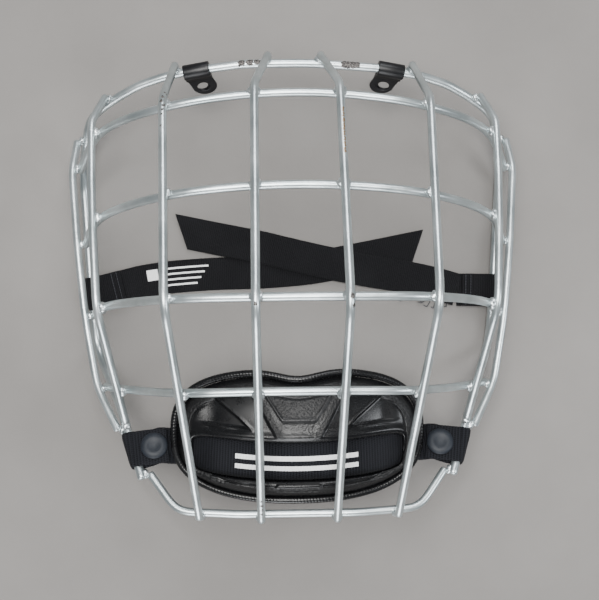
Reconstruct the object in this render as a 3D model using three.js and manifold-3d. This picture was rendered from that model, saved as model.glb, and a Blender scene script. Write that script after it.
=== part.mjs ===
// Ice-hockey wire face mask with a moulded chin cup, top clips and two side straps.
// Millimetres. X runs across the face, Y from the chin up to the forehead, Z out of the face.
// The mask lies on the back of its rim, face up, with the rim touching Z = 0.
import * as THREE from "three";
import { mergeVertices } from "three/addons/utils/BufferGeometryUtils.js";
import Module from "manifold-3d";

const wasm = await Module();
wasm.setup();

// ---- Driving dimensions ---------------------------------------------------------------------

const WIRE_D = 3.8;
const RIM_D = 4.2;
const WELD_GAP = 0.3; // between two wires that are welded together
const WIRE_SIDES = 8;
const BEND_STEP = Math.PI / 9; // each facet of a bend turns the wire by no more than this
const BEND_ROOM = 0.96; // share of a straight run that the bends at its two ends may use up

// Rim wire, right half, from the top centre to the jaw: [x, y, z, bend radius at this corner].
const RIM_HALF = [
  [38, 104.2, 44, 110],
  [74, 96.5, 38, 60],
  [99, 83, 25, 22],
  [105.5, 59, 5.5, 40],
  [104.8, 40, 1.06, 60],
  [103, 16, 3.8, 60],
  [101, -14, 3.8, 60],
  [99.5, -31, 0.82, 26],
  [85.5, -57, 28, 40],
  [73.5, -91, 42, 0],
];
const RIM_TOP = [0, 104.8, 44, 0];

// Chin wire, right half, from the jaw end to the middle.
const CHIN_WIRE_HALF = [
  [70.4, -88, 40, 0],
  [57, -105.4, 46.5, 12],
];
const CHIN_WIRE_MIDDLE = [0, -107.9, 52, 400];

// Each upright bar, right side: where it leans on the rim, its corners and where it ends.
const FACE_BARS = {
  inner: { rimX: 12.2, chinX: 17.2, corners: [[18.9, 88.5, 80, 7], [19.1, -8.5, 126, 14]] },
  outer: { rimX: 54.9, chinX: 45.9, corners: [[59.4, 82.4, 77, 7], [56.5, -8, 117, 14]] },
};
const FACE_BAR_RIM_SIDE = [0, 0.85, 0.53]; // the side of the rim, and of the chin wire, that it lies on
const FACE_BAR_CHIN_SIDE = [0, -0.57, 0.82];
const SIDE_BARS = {
  front: {
    rimY: 89.3,
    rimSide: [0.45, 0.5, 0.75],
    corners: [[95.1, 77.2, 46, 7], [93.1, 38.6, 62, 120], [90.1, -10, 71, 16]],
    jawY: -66.5,
    jawSide: [-0.25, 0, 1],
  },
  rear: {
    rimY: 72,
    rimSide: [1, 0.25, 0.5],
    corners: [[107.3, 56.5, 27, 8], [104.1, 18.5, 33, 160], [100.3, -14, 37, 80], [95, -47, 36.5, 20]],
    jawY: -67.5,
    jawSide: [1, 0, -0.1],
  },
};
const BAR_TIP_PAST_RIM = 0.3;
const BAR_TIP_PAST_CHIN = 0.2;

// Cross wires: height (Y) at the inner face bar, outer face bar, front side bar and rear side bar.
const CROSS_WIRES = {
  brow: [86, 81.2, 72.2, 57.8],
  eye: [43.4, 39.6, 31.6, 20.5],
  mouth: [-5.4, -6.6, -9.9, -14],
  jaw: [-48.4, -48.8, -50, -48.6],
};
const CROSS_WIRE_STEPS = 30;
const CROSS_WIRE_TIP = 1.2; // how far a cross wire runs past the rear side bar's middle

// Strip folded round a wire: used by the top clips and the sewn ends of the side straps.
const CLEARANCE = 0.3;
const TOP_CLIP = {
  x: 46, thickness: 1.2, width: 12.5, length: 16.5, tilt: 60 * Math.PI / 180,
  hole: 6.4, holeAt: 11, endRadius: 6,
};
const STRAP_W = 16.5;
const STRAP_T = 1.2;
const STRAP_LOOP = { y: -3, thickness: STRAP_T, width: STRAP_W, length: 16 };
const FOLD_SEGMENTS = 8; // per arc of a fold's side view
const HOLE_SEGMENTS = 10;
const PUNCH_DEPTH = 4 * RIM_D;

// Free length of each side strap: [x, y, z of the strap's mid-plane], from the sewn end to the cut tip.
const STRAP_STEPS = 26;
const STRAP_SLANT = 9.6; // the tips are cut at an angle: the forehead-side edge is longer by this much
const LEFT_STRAP = [
  [-83.4, 1.4, 3.7], [-77, 3, 2.6], [-64, 5, 1.3], [-52.6, 6, 0.9], [-37.3, 6.8, 0.8],
  [-16.9, 7.2, 0.8], [8.7, 9.2, 0.8], [31.2, 13.2, 0.8], [63.6, 19.4, 0.8],
];
const RIGHT_STRAP = [
  [83.2, -2.6, 3.8], [72.1, 0.7, 3.4], [54.7, 4.6, 3], [34.3, 8.2, 2.7], [13.8, 12.6, 2.7],
  [-3, 16.6, 2.7], [-16.8, 20, 2.6], [-37.3, 24.2, 2.2], [-56.7, 28.3, 1.2],
];

// Chin webbing where it folds round the jaw of the rim.
const CHIN_WEB_W = 17;
const CHIN_WEB_T = 1.5;
const JAW_Y = -78;
const TAB_INWARD = [-0.992, 0.1, -0.07];
const TAB_HINGE = 1.2; // the flap folds this far inboard of the wire's middle
const FLAP_END = 16.2;
const SNAP_AT = 10; // snap fastener, inboard of the wire's middle
const TAB_SPLIT_X = 62.1; // the webbing between these planes swings with the cup
const TAB_SPLIT_GAP = { cup: 0.6, tab: 1.2 }; // what each side of the split gives up

// Chin cup, in its own frame: u across, v up the cup, w out of it. The origin is on its swing axis.
const CUP_TILT = 8 * Math.PI / 180;
const CUP_AXIS = [0, -78, 36];
const CUP = {
  halfWidth: 56.8, top: 37.2, bottom: -20.6, crest: 21, across: 96, along: 50, middle: 8,
  shell: 3.5, seam: 0.5, liner: 5, piping: 3.6, squareness: 0.72, dip: 3.2, dipWidth: 13,
};
const CUP_SEGMENTS = 40;
const CUP_RINGS = [0.35, 0.65, 0.88, 1];
const PIPING_SIDES = 6;
const BAND_STEPS = 20;
const BAND_ROWS = 4;
const GROOVE = { past: 8, side: 1 }; // the webbing's groove runs past the liner and is this much wider
const WINDOW = { halfWidth: 50, low: -12.2, high: 7.4, corner: 4, cornerSegments: 5 };

// Snap fastener: the cap and socket sit on the flap, the stud on the back layer.
const SNAP_SEGMENTS = 16;
const CAP = { radius: 6.4, bevel: 0.5, wall: 1.3, crownRadius: 4, height: 2.2, dimpleRadius: 3, dimple: 0.7 };
const SOCKET = { radius: 5.4, bore: 2.6, height: 2.4, bevel: 0.7 };
const STUD = { radius: 4.4, flange: 0.9, nub: 2.1, neck: 1.8, height: 2.9, bevel: 0.5 };

// ---- Colours and finishes -------------------------------------------------------------------

const FINISH = {
  paintedWire: { color: 0xc9cdcf, roughness: 0.38, metalness: 0.55 },
  coatedSteel: { color: 0x16171a, roughness: 0.42, metalness: 0.2 },
  webbing: { color: 0x17181b, roughness: 0.92, metalness: 0 },
  mouldedFoam: { color: 0x141416, roughness: 0.45, metalness: 0 },
  lining: { color: 0x1d1d20, roughness: 0.95, metalness: 0 },
  snapPlastic: { color: 0x3a4049, roughness: 0.5, metalness: 0.1 },
  snapMetal: { color: 0x6e7277, roughness: 0.4, metalness: 0.8 },
};

const group = new THREE.Group();
group.name = "hockey_face_mask";

function add(name, geometry, finish) {
  const mesh = new THREE.Mesh(geometry, new THREE.MeshStandardMaterial(FINISH[finish]));
  mesh.name = name;
  group.add(mesh);
}

// ---- Geometry helpers -----------------------------------------------------------------------

const vec = (p) => new THREE.Vector3(p[0], p[1], p[2]);
const mirrorPoint = (p) => [-p[0], ...p.slice(1)];

// Turns every triangle round, so that a mirrored solid faces outwards again.
function flip(geometry) {
  const flipped = geometry.index ? geometry.toNonIndexed() : geometry;
  const position = flipped.attributes.position;
  for (let i = 0; i < position.count; i += 3) {
    const a = new THREE.Vector3().fromBufferAttribute(position, i);
    const b = new THREE.Vector3().fromBufferAttribute(position, i + 1);
    position.setXYZ(i, b.x, b.y, b.z);
    position.setXYZ(i + 1, a.x, a.y, a.z);
  }
  return flipped;
}

// Moves a geometry by a matrix, which may mirror or skew it.
function place(geometry, matrix) {
  const moved = geometry.clone().applyMatrix4(matrix);
  return matrix.determinant() < 0 ? flip(moved) : moved;
}

const MIRROR = new THREE.Matrix4().makeScale(-1, 1, 1);

// Adds a right-hand piece and its mirror image.
function addPair(name, geometry, finish) {
  add(`${name}_right`, geometry, finish);
  add(`${name}_left`, place(geometry, MIRROR), finish);
}

function toManifold(geometry) {
  const plain = new THREE.BufferGeometry();
  plain.setAttribute("position", geometry.attributes.position);
  plain.setIndex(geometry.index);
  const merged = mergeVertices(plain, 1e-4);
  return new wasm.Manifold(new wasm.Mesh({
    numProp: 3,
    vertProperties: new Float32Array(merged.attributes.position.array),
    triVerts: new Uint32Array(merged.index.array),
  }));
}

function fromManifold(solid) {
  const mesh = solid.getMesh();
  const geometry = new THREE.BufferGeometry();
  geometry.setAttribute("position", new THREE.BufferAttribute(new Float32Array(mesh.vertProperties), 3));
  geometry.setIndex(new THREE.BufferAttribute(new Uint32Array(mesh.triVerts), 1));
  return geometry;
}

// Skins a row of equal-sized point rings. Open rows get a flat cap at each end.
function loft(rings, closedRow = false) {
  const size = rings[0].length;
  const points = rings.flat();
  const faces = [];
  const rows = closedRow ? rings.length : rings.length - 1;
  for (let r = 0; r < rows; r++) {
    const here = r * size;
    const next = ((r + 1) % rings.length) * size;
    for (let k = 0; k < size; k++) {
      const k2 = (k + 1) % size;
      faces.push(here + k, next + k2, next + k, here + k, here + k2, next + k2);
    }
  }
  if (!closedRow) {
    const last = (rings.length - 1) * size;
    for (let k = 1; k < size - 1; k++) {
      faces.push(0, k + 1, k, last, last + k, last + k + 1);
    }
  }
  const geometry = new THREE.BufferGeometry();
  geometry.setAttribute("position", new THREE.Float32BufferAttribute(points.flatMap((p) => p.toArray()), 3));
  geometry.setIndex(faces);
  return geometry;
}

// ---- Wires ----------------------------------------------------------------------------------

// A path that visits its samples one by one, so straight runs cost no triangles.
class SampledPath extends THREE.Curve {
  constructor(samples) {
    super();
    this.samples = samples;
  }

  getPoint(t, target = new THREE.Vector3()) {
    const at = t * (this.samples.length - 1);
    const i = Math.min(Math.floor(at), this.samples.length - 2);
    return target.copy(this.samples[i]).lerp(this.samples[i + 1], at - i);
  }

  getPointAt(t, target) {
    return this.getPoint(t, target);
  }

  getTangent(t, target = new THREE.Vector3()) {
    const i = Math.round(t * (this.samples.length - 1));
    const before = this.samples[Math.max(i - 1, 0)];
    const after = this.samples[Math.min(i + 1, this.samples.length - 1)];
    return target.copy(after).sub(before).normalize();
  }

  getTangentAt(t, target) {
    return this.getTangent(t, target);
  }
}

// Rounds each corner of a bent wire to its bend radius.
function bentPath(corners) {
  const samples = [vec(corners[0])];
  for (let i = 1; i < corners.length - 1; i++) {
    const at = vec(corners[i]);
    const incoming = at.clone().sub(vec(corners[i - 1]));
    const outgoing = vec(corners[i + 1]).sub(at);
    const angle = incoming.angleTo(outgoing);
    const room = Math.min(incoming.length(), outgoing.length()) / 2 * BEND_ROOM;
    const setback = Math.min(corners[i][3] * Math.tan(angle / 2), room);
    const start = at.clone().addScaledVector(incoming.normalize(), -setback);
    const end = at.clone().addScaledVector(outgoing.normalize(), setback);
    const steps = Math.max(1, Math.ceil(angle / BEND_STEP));
    const bend = new THREE.QuadraticBezierCurve3(start, at, end);
    samples.push(...bend.getPoints(steps));
  }
  samples.push(vec(corners[corners.length - 1]));
  return new SampledPath(samples);
}

function wire(path, diameter) {
  const section = new THREE.Shape();
  section.absarc(0, 0, diameter / 2, 0, 2 * Math.PI);
  return new THREE.ExtrudeGeometry(section, {
    steps: path.samples.length - 1,
    curveSegments: WIRE_SIDES / 2, // a full arc gets two sides per segment
    extrudePath: path,
  });
}

// Where a path first crosses a given X (axis 0) or Y (axis 1): the point and the path's direction.
function station(path, axis, value) {
  const samples = path.samples;
  for (let i = 0; i < samples.length - 1; i++) {
    const from = samples[i].getComponent(axis);
    const to = samples[i + 1].getComponent(axis);
    if ((from - value) * (to - value) <= 0 && from !== to) {
      const t = (value - from) / (to - from);
      return {
        point: samples[i].clone().lerp(samples[i + 1], t),
        along: samples[i + 1].clone().sub(samples[i]).normalize(),
      };
    }
  }
  throw new Error(`no station at ${value}`);
}

// A point at a set distance from a path, on the side given by a rough direction.
function beside(at, side, distance) {
  const away = side.clone().addScaledVector(at.along, -side.dot(at.along)).normalize();
  return at.point.clone().addScaledVector(away, distance);
}

const rimHalf = bentPath([RIM_TOP, ...RIM_HALF]);
const rim = bentPath([...RIM_HALF.map(mirrorPoint).reverse(), RIM_TOP, ...RIM_HALF]);
const chinWire = bentPath([
  ...CHIN_WIRE_HALF.map(mirrorPoint),
  CHIN_WIRE_MIDDLE,
  ...[...CHIN_WIRE_HALF].reverse(),
]);
const chinHalf = bentPath([...CHIN_WIRE_HALF, CHIN_WIRE_MIDDLE]);

const ON_RIM = (WIRE_D + RIM_D) / 2 + WELD_GAP;
const ON_WIRE = WIRE_D + WELD_GAP;

// A corner without a bend, past `seat` when coming from `corner`.
function tip(seat, corner, past) {
  const out = seat.clone().sub(vec(corner)).normalize();
  return [...seat.clone().addScaledVector(out, past).toArray(), 0];
}

function faceBarPath({ rimX, chinX, corners }) {
  const top = beside(station(rimHalf, 0, rimX), vec(FACE_BAR_RIM_SIDE), ON_RIM);
  const bottom = beside(station(chinHalf, 0, chinX), vec(FACE_BAR_CHIN_SIDE), ON_WIRE);
  return bentPath([
    tip(top, corners[0], BAR_TIP_PAST_RIM),
    ...corners,
    tip(bottom, corners[corners.length - 1], BAR_TIP_PAST_CHIN),
  ]);
}

function sideBarPath({ rimY, rimSide, corners, jawY, jawSide }) {
  const top = beside(station(rimHalf, 1, rimY), vec(rimSide), ON_RIM);
  const bottom = beside(station(rimHalf, 1, jawY), vec(jawSide), ON_RIM);
  return bentPath([
    tip(top, corners[0], BAR_TIP_PAST_RIM),
    ...corners,
    [...bottom.toArray(), 0],
  ]);
}

const barPaths = {
  inner: faceBarPath(FACE_BARS.inner),
  outer: faceBarPath(FACE_BARS.outer),
  front: sideBarPath(SIDE_BARS.front),
  rear: sideBarPath(SIDE_BARS.rear),
};

// A cross wire lies on the inner side of every upright bar that it meets.
function crossWirePath(heights) {
  const stops = Object.values(barPaths).map((path, i) => station(path, 1, heights[i]));
  const half = stops.map((stop, i) => {
    const before = i ? stops[i - 1].point : vec(mirrorPoint(stop.point.toArray()));
    const after = stops[Math.min(i + 1, stops.length - 1)].point;
    const inward = stop.along.clone().cross(after.clone().sub(before)).normalize();
    if (inward.z > 0) {
      inward.negate();
    }
    return stop.point.clone().addScaledVector(inward, ON_WIRE);
  });
  const last = half[half.length - 1];
  last.addScaledVector(last.clone().sub(half[half.length - 2]).normalize(), CROSS_WIRE_TIP);
  const left = half.map((p) => vec(mirrorPoint(p.toArray()))).reverse();
  return new SampledPath(new THREE.CatmullRomCurve3([...left, ...half]).getSpacedPoints(CROSS_WIRE_STEPS));
}

add("rim_wire", wire(rim, RIM_D), "paintedWire");
add("chin_wire", wire(chinWire, WIRE_D), "paintedWire");
for (const [name, path] of Object.entries(barPaths)) {
  const kind = name in FACE_BARS ? "face_bar" : "side_bar";
  addPair(`${kind}_${name}`, wire(path, WIRE_D), "paintedWire");
}
for (const [name, heights] of Object.entries(CROSS_WIRES)) {
  add(`cross_wire_${name}`, wire(crossWirePath(heights), WIRE_D), "paintedWire");
}

// ---- Strips folded round a wire -------------------------------------------------------------

// Frame with its X along the wire, Y along the strip and Z across its thickness.
function stripFrame(at, reach) {
  const along = at.along.clone().normalize();
  const out = reach.clone().addScaledVector(along, -reach.dot(along)).normalize();
  const normal = along.clone().cross(out);
  return new THREE.Matrix4().makeBasis(along, out, normal).setPosition(at.point);
}

// Side view of a strip that goes round the wire and is closed flat against itself.
function foldedStrip({ thickness, width, length }) {
  const inner = RIM_D / 2 + CLEARANCE;
  const outer = inner + thickness;
  const neck = Math.asin(thickness / outer);
  const profile = new THREE.Shape();
  profile.absarc(0, 0, outer, neck, 2 * Math.PI - neck);
  profile.lineTo(length, -thickness);
  profile.lineTo(length, thickness);
  profile.closePath();
  profile.holes.push(new THREE.Path().absarc(0, 0, inner, 0, 2 * Math.PI, true));
  const geometry = new THREE.ExtrudeGeometry(profile, {
    depth: width, curveSegments: FOLD_SEGMENTS, bevelEnabled: false,
  });
  const toFrame = new THREE.Matrix4().makeBasis(
    new THREE.Vector3(0, 1, 0), new THREE.Vector3(0, 0, 1), new THREE.Vector3(1, 0, 0));
  return place(geometry, toFrame.setPosition(-width / 2, 0, 0));
}

// Keeps a strip inside a tab outline with a rounded end, and drills its screw hole.
function punched(geometry, { width, length, endRadius, hole, holeAt }) {
  const outline = new THREE.Shape();
  const half = width / 2;
  outline.moveTo(-half, -half);
  outline.lineTo(half, -half);
  outline.lineTo(half, length - endRadius);
  outline.absarc(0, length - endRadius, endRadius, 0, Math.PI);
  outline.lineTo(-half, length - endRadius);
  outline.closePath();
  outline.holes.push(new THREE.Path().absarc(0, holeAt, hole / 2, 0, 2 * Math.PI, true));
  const cutter = new THREE.ExtrudeGeometry(outline, {
    depth: PUNCH_DEPTH, curveSegments: HOLE_SEGMENTS, bevelEnabled: false,
  });
  cutter.translate(0, 0, -PUNCH_DEPTH / 2);
  return fromManifold(toManifold(geometry).intersect(toManifold(cutter)));
}

const clipReach = new THREE.Vector3(0, -Math.cos(TOP_CLIP.tilt), -Math.sin(TOP_CLIP.tilt));
const clipFrame = stripFrame(station(rimHalf, 0, TOP_CLIP.x), clipReach);
addPair("top_clip", place(punched(foldedStrip(TOP_CLIP), TOP_CLIP), clipFrame), "coatedSteel");

const loopFrame = stripFrame(station(rimHalf, 1, STRAP_LOOP.y), new THREE.Vector3(-1, 0, 0));
addPair("strap_loop", place(foldedStrip(STRAP_LOOP), loopFrame), "webbing");

// ---- Side straps ----------------------------------------------------------------------------

// Flat webbing along a smooth route. Its rings are upright rectangles, and the last one is cut at an angle.
function flatStrap(points) {
  const route = new THREE.CatmullRomCurve3(points.map(vec));
  const rings = [];
  for (let i = 0; i <= STRAP_STEPS; i++) {
    const at = route.getPointAt(i / STRAP_STEPS);
    const along = route.getTangentAt(i / STRAP_STEPS);
    const across = new THREE.Vector3(-along.y, along.x, 0).normalize();
    if (across.y < 0) {
      across.negate();
    }
    const slant = i === STRAP_STEPS ? STRAP_SLANT / 2 : 0;
    const up = new THREE.Vector3(0, 0, STRAP_T / 2);
    const high = at.clone().addScaledVector(across, STRAP_W / 2).addScaledVector(along, slant);
    const low = at.clone().addScaledVector(across, -STRAP_W / 2).addScaledVector(along, -slant);
    rings.push([high.clone().add(up), high.clone().sub(up), low.clone().sub(up), low.clone().add(up)]);
  }
  const geometry = loft(rings);
  return points[0][0] < 0 ? flip(geometry) : geometry;
}

add("side_strap_left", flatStrap(LEFT_STRAP), "webbing");
add("side_strap_right", flatStrap(RIGHT_STRAP), "webbing");

// ---- Chin cup -------------------------------------------------------------------------------

const cupFrame = new THREE.Matrix4().makeRotationX(CUP_TILT).setPosition(vec(CUP_AXIS));
const cupPoint = (u, v, w) => new THREE.Vector3(u, v, w).applyMatrix4(cupFrame);

// Outer face of the cup: a shallow bowl.
function bowl(u, v) {
  return CUP.crest - u * u / (2 * CUP.across) - (v - CUP.middle) ** 2 / (2 * CUP.along);
}

// Edge of the cup seen from the front: two humps with a dip between them, round sides, flat bottom.
function cupEdge(angle, grow = 0) {
  const cos = Math.cos(angle);
  const sin = Math.sin(angle);
  const u = (CUP.halfWidth + grow) * Math.sign(cos) * Math.abs(cos) ** CUP.squareness;
  const reach = sin > 0 ? CUP.top - CUP.middle : CUP.middle - CUP.bottom;
  const dip = sin > 0 ? CUP.dip * Math.exp(-((u / CUP.dipWidth) ** 2)) : 0;
  const v = CUP.middle + (reach + grow - dip) * Math.sign(sin) * Math.abs(sin) ** CUP.squareness;
  return [u, v];
}

const edgeAngles = Array.from({ length: CUP_SEGMENTS }, (_, i) => 2 * Math.PI * (i + 0.5) / CUP_SEGMENTS);

// A curved plate between two depths below the cup's outer face.
function cupPlate(front, back) {
  const points = [];
  for (const depth of [front, back]) {
    points.push(cupPoint(0, CUP.middle, bowl(0, CUP.middle) - depth));
    for (const scale of CUP_RINGS) {
      for (const angle of edgeAngles) {
        const [u, v] = cupEdge(angle);
        const at = [u * scale, CUP.middle + (v - CUP.middle) * scale];
        points.push(cupPoint(...at, bowl(...at) - depth));
      }
    }
  }
  const faces = [];
  const perFace = 1 + CUP_RINGS.length * CUP_SEGMENTS;
  const index = (side, ring, k) => side * perFace + 1 + ring * CUP_SEGMENTS + (k % CUP_SEGMENTS);
  const push = (side, a, b, c) => faces.push(...(side ? [a, c, b] : [a, b, c]));
  for (let side = 0; side < 2; side++) {
    for (let k = 0; k < CUP_SEGMENTS; k++) {
      push(side, side * perFace, index(side, 0, k), index(side, 0, k + 1));
      for (let ring = 0; ring < CUP_RINGS.length - 1; ring++) {
        push(side, index(side, ring, k), index(side, ring + 1, k), index(side, ring + 1, k + 1));
        push(side, index(side, ring, k), index(side, ring + 1, k + 1), index(side, ring, k + 1));
      }
    }
  }
  const edge = CUP_RINGS.length - 1;
  for (let k = 0; k < CUP_SEGMENTS; k++) {
    faces.push(index(0, edge, k), index(1, edge, k), index(1, edge, k + 1));
    faces.push(index(0, edge, k), index(1, edge, k + 1), index(0, edge, k + 1));
  }
  const geometry = new THREE.BufferGeometry();
  geometry.setAttribute("position", new THREE.Float32BufferAttribute(points.flatMap((p) => p.toArray()), 3));
  geometry.setIndex(faces);
  return geometry;
}

// A band that follows the cup from side to side, between two depths below its outer face.
function cupBand(halfLength, low, high, front, back) {
  const rings = [];
  for (let i = 0; i <= BAND_STEPS; i++) {
    const u = halfLength * (2 * i / BAND_STEPS - 1);
    const row = (depth) => Array.from({ length: BAND_ROWS + 1 }, (_, k) => {
      const v = high + (low - high) * k / BAND_ROWS;
      return cupPoint(u, v, bowl(u, v) - depth);
    });
    rings.push([...row(front), ...row(back).reverse()]);
  }
  return loft(rings);
}

// Opening in the shell through which the webbing is seen.
function cupWindow() {
  const { halfWidth, low, high, corner, cornerSegments } = WINDOW;
  const outline = new THREE.Shape();
  outline.absarc(halfWidth - corner, high - corner, corner, 0, Math.PI / 2);
  outline.absarc(-halfWidth + corner, high - corner, corner, Math.PI / 2, Math.PI);
  outline.absarc(-halfWidth + corner, low + corner, corner, Math.PI, 1.5 * Math.PI);
  outline.absarc(halfWidth - corner, low + corner, corner, 1.5 * Math.PI, 2 * Math.PI);
  const depth = 2 * CUP.crest;
  const cutter = new THREE.ExtrudeGeometry(outline, {
    depth, curveSegments: cornerSegments, bevelEnabled: false,
  });
  return place(cutter.translate(0, 0, -depth / 3), cupFrame);
}

const WEB_LOW = (WINDOW.low + WINDOW.high - CHIN_WEB_W) / 2;
const WEB_HIGH = WEB_LOW + CHIN_WEB_W;
const behindShell = CUP.shell + CUP.seam;
const webBack = behindShell + CHIN_WEB_T;

const shell = toManifold(cupPlate(0, CUP.shell)).subtract(toManifold(cupWindow()));
add("chin_cup_shell", fromManifold(shell), "mouldedFoam");

// The liner has a groove for the webbing from side to side.
const groove = cupBand(
  CUP.halfWidth + GROOVE.past,
  WEB_LOW - GROOVE.side,
  WEB_HIGH + GROOVE.side,
  CUP.shell - GROOVE.side,
  webBack + CLEARANCE,
);
const liner = toManifold(cupPlate(behindShell, behindShell + CUP.liner)).subtract(toManifold(groove));
add("chin_cup_liner", fromManifold(liner), "lining");

// Piping round the shell's edge.
function cupPiping() {
  const radius = CUP.piping / 2;
  const offset = radius + CLEARANCE;
  const nearby = 0.01;
  const rings = edgeAngles.map((angle) => {
    const [u, v] = cupEdge(angle, offset);
    const [u1, v1] = cupEdge(angle + nearby, offset);
    const out = new THREE.Vector3(v1 - v, u - u1, 0).normalize();
    const w = bowl(u, v) - CUP.shell / 2 + CLEARANCE;
    return Array.from({ length: PIPING_SIDES }, (_, k) => {
      const turn = 2 * Math.PI * k / PIPING_SIDES;
      const reach = radius * Math.cos(turn);
      return cupPoint(u + out.x * reach, v + out.y * reach, w + radius * Math.sin(turn));
    });
  });
  return flip(loft(rings, true));
}
add("chin_cup_piping", cupPiping(), "mouldedFoam");
const webHalf = TAB_SPLIT_X - TAB_SPLIT_GAP.cup;
add("chin_webbing", cupBand(webHalf, WEB_LOW, WEB_HIGH, behindShell, webBack), "webbing");

// ---- Webbing tabs and snap fasteners at the jaw ---------------------------------------------

// Tab frame: X inward over the cheek, Y along the rim wire, Z out towards the front.
const jaw = station(rimHalf, 1, JAW_Y);
const tabInward = vec(TAB_INWARD).normalize();
const tabNormal = tabInward.clone().cross(jaw.along).normalize();
const tabFrame = new THREE.Matrix4().makeBasis(tabInward, jaw.along, tabNormal).setPosition(jaw.point);

// Extrudes a side view of the webbing across its width.
function tabPiece(profile) {
  const depth = CHIN_WEB_W;
  const geometry = new THREE.ExtrudeGeometry(profile, {
    depth, curveSegments: FOLD_SEGMENTS, bevelEnabled: false,
  });
  const toFrame = new THREE.Matrix4().makeBasis(
    new THREE.Vector3(1, 0, 0), new THREE.Vector3(0, 0, 1), new THREE.Vector3(0, 1, 0));
  return place(place(geometry, toFrame.setPosition(0, -depth / 2, 0)), tabFrame);
}

const foldInner = RIM_D / 2 + CLEARANCE;
const foldOuter = foldInner + CHIN_WEB_T;
const foldMiddle = (foldInner + foldOuter) / 2;
const legEnd = (jaw.point.x - TAB_SPLIT_X) / -tabInward.x - TAB_SPLIT_GAP.tab;

// Back layer and the fold round the wire.
function backLeg() {
  const profile = new THREE.Shape();
  profile.absarc(0, 0, foldOuter, Math.PI / 2, 1.5 * Math.PI);
  profile.lineTo(legEnd, -foldOuter);
  profile.lineTo(legEnd, -foldInner);
  profile.absarc(0, 0, foldInner, 1.5 * Math.PI, Math.PI / 2, true);
  profile.closePath();
  return tabPiece(profile);
}

// Front layer, folded back over and round-nosed where it hinges.
function flap() {
  const profile = new THREE.Shape();
  const half = CHIN_WEB_T / 2;
  profile.absarc(TAB_HINGE, foldMiddle, half, Math.PI / 2, 1.5 * Math.PI);
  profile.lineTo(FLAP_END, foldMiddle - half);
  profile.lineTo(FLAP_END, foldMiddle + half);
  profile.closePath();
  return tabPiece(profile);
}

// Round part of the snap, from its side view: [radius, height above the tab frame's XY plane].
function snapPart(profile) {
  const lathe = new THREE.LatheGeometry(profile.map(([r, z]) => new THREE.Vector2(r, z)), SNAP_SEGMENTS);
  lathe.rotateX(Math.PI / 2);
  const stand = new THREE.Quaternion().setFromUnitVectors(new THREE.Vector3(0, 0, 1), tabNormal);
  const centre = jaw.point.clone().addScaledVector(tabInward, SNAP_AT);
  return place(lathe, new THREE.Matrix4().makeRotationFromQuaternion(stand).setPosition(centre));
}

const flapTop = foldOuter + CLEARANCE;
const flapUnder = foldInner - CLEARANCE;
const legTop = -foldInner + CLEARANCE;
const capProfile = [
  [0, flapTop],
  [CAP.radius - CAP.bevel, flapTop],
  [CAP.radius, flapTop + CAP.bevel],
  [CAP.radius - CAP.bevel, flapTop + CAP.wall],
  [CAP.crownRadius, flapTop + CAP.height],
  [CAP.dimpleRadius, flapTop + CAP.height],
  [CAP.dimpleRadius - 2 * CAP.bevel, flapTop + CAP.height - CAP.dimple],
  [0, flapTop + CAP.height - CAP.dimple],
];
const socketProfile = [
  [SOCKET.bore, flapUnder],
  [SOCKET.bore, flapUnder - SOCKET.height],
  [SOCKET.radius - SOCKET.bevel, flapUnder - SOCKET.height],
  [SOCKET.radius, flapUnder - SOCKET.height + SOCKET.bevel],
  [SOCKET.radius, flapUnder],
  [SOCKET.bore, flapUnder],
];
const studProfile = [
  [0, legTop],
  [STUD.radius, legTop],
  [STUD.radius, legTop + STUD.flange],
  [STUD.neck, legTop + STUD.flange],
  [STUD.nub, legTop + STUD.height - STUD.bevel],
  [STUD.nub - STUD.bevel, legTop + STUD.height],
  [0, legTop + STUD.height],
];

addPair("chin_strap_back", backLeg(), "webbing");
addPair("chin_strap_flap", flap(), "webbing");
addPair("snap_cap", snapPart(capProfile), "snapPlastic");
addPair("snap_socket", snapPart(socketProfile), "snapMetal");
addPair("snap_stud", snapPart(studProfile), "snapMetal");

export default group;
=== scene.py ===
import math
import random

import bmesh
import bpy
import numpy as np
from mathutils import Matrix, Vector
from mathutils.kdtree import KDTree


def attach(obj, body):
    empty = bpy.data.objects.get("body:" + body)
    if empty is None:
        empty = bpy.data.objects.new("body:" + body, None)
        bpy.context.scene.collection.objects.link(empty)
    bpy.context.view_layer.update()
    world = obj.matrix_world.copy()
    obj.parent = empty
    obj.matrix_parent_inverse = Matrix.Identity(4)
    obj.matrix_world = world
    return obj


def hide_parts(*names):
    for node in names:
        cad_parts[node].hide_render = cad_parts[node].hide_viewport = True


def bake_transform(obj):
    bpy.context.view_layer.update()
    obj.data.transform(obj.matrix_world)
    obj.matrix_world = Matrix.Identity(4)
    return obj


# Looks of the hockey wire face mask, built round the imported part. Shapes are worked out in millimetres in the
# part's own frame (X across, Y to the forehead, Z out of the face), and piece() turns them into metres.

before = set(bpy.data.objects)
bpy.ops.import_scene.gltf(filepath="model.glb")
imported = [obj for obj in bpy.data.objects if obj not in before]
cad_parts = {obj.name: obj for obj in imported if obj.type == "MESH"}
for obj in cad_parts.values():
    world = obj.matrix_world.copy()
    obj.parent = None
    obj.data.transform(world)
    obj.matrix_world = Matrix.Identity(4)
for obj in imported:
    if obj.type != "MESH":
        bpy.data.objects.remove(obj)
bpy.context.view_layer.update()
MM = 0.001
SIDES = {"right": 1.0, "left": -1.0}
dice = random.Random(7)


def new_object(name, data):
    made = bpy.data.objects.new(name, data)
    bpy.context.scene.collection.objects.link(made)
    return made


# ---- Camera ---------------------------------------------------------------------------------

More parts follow.
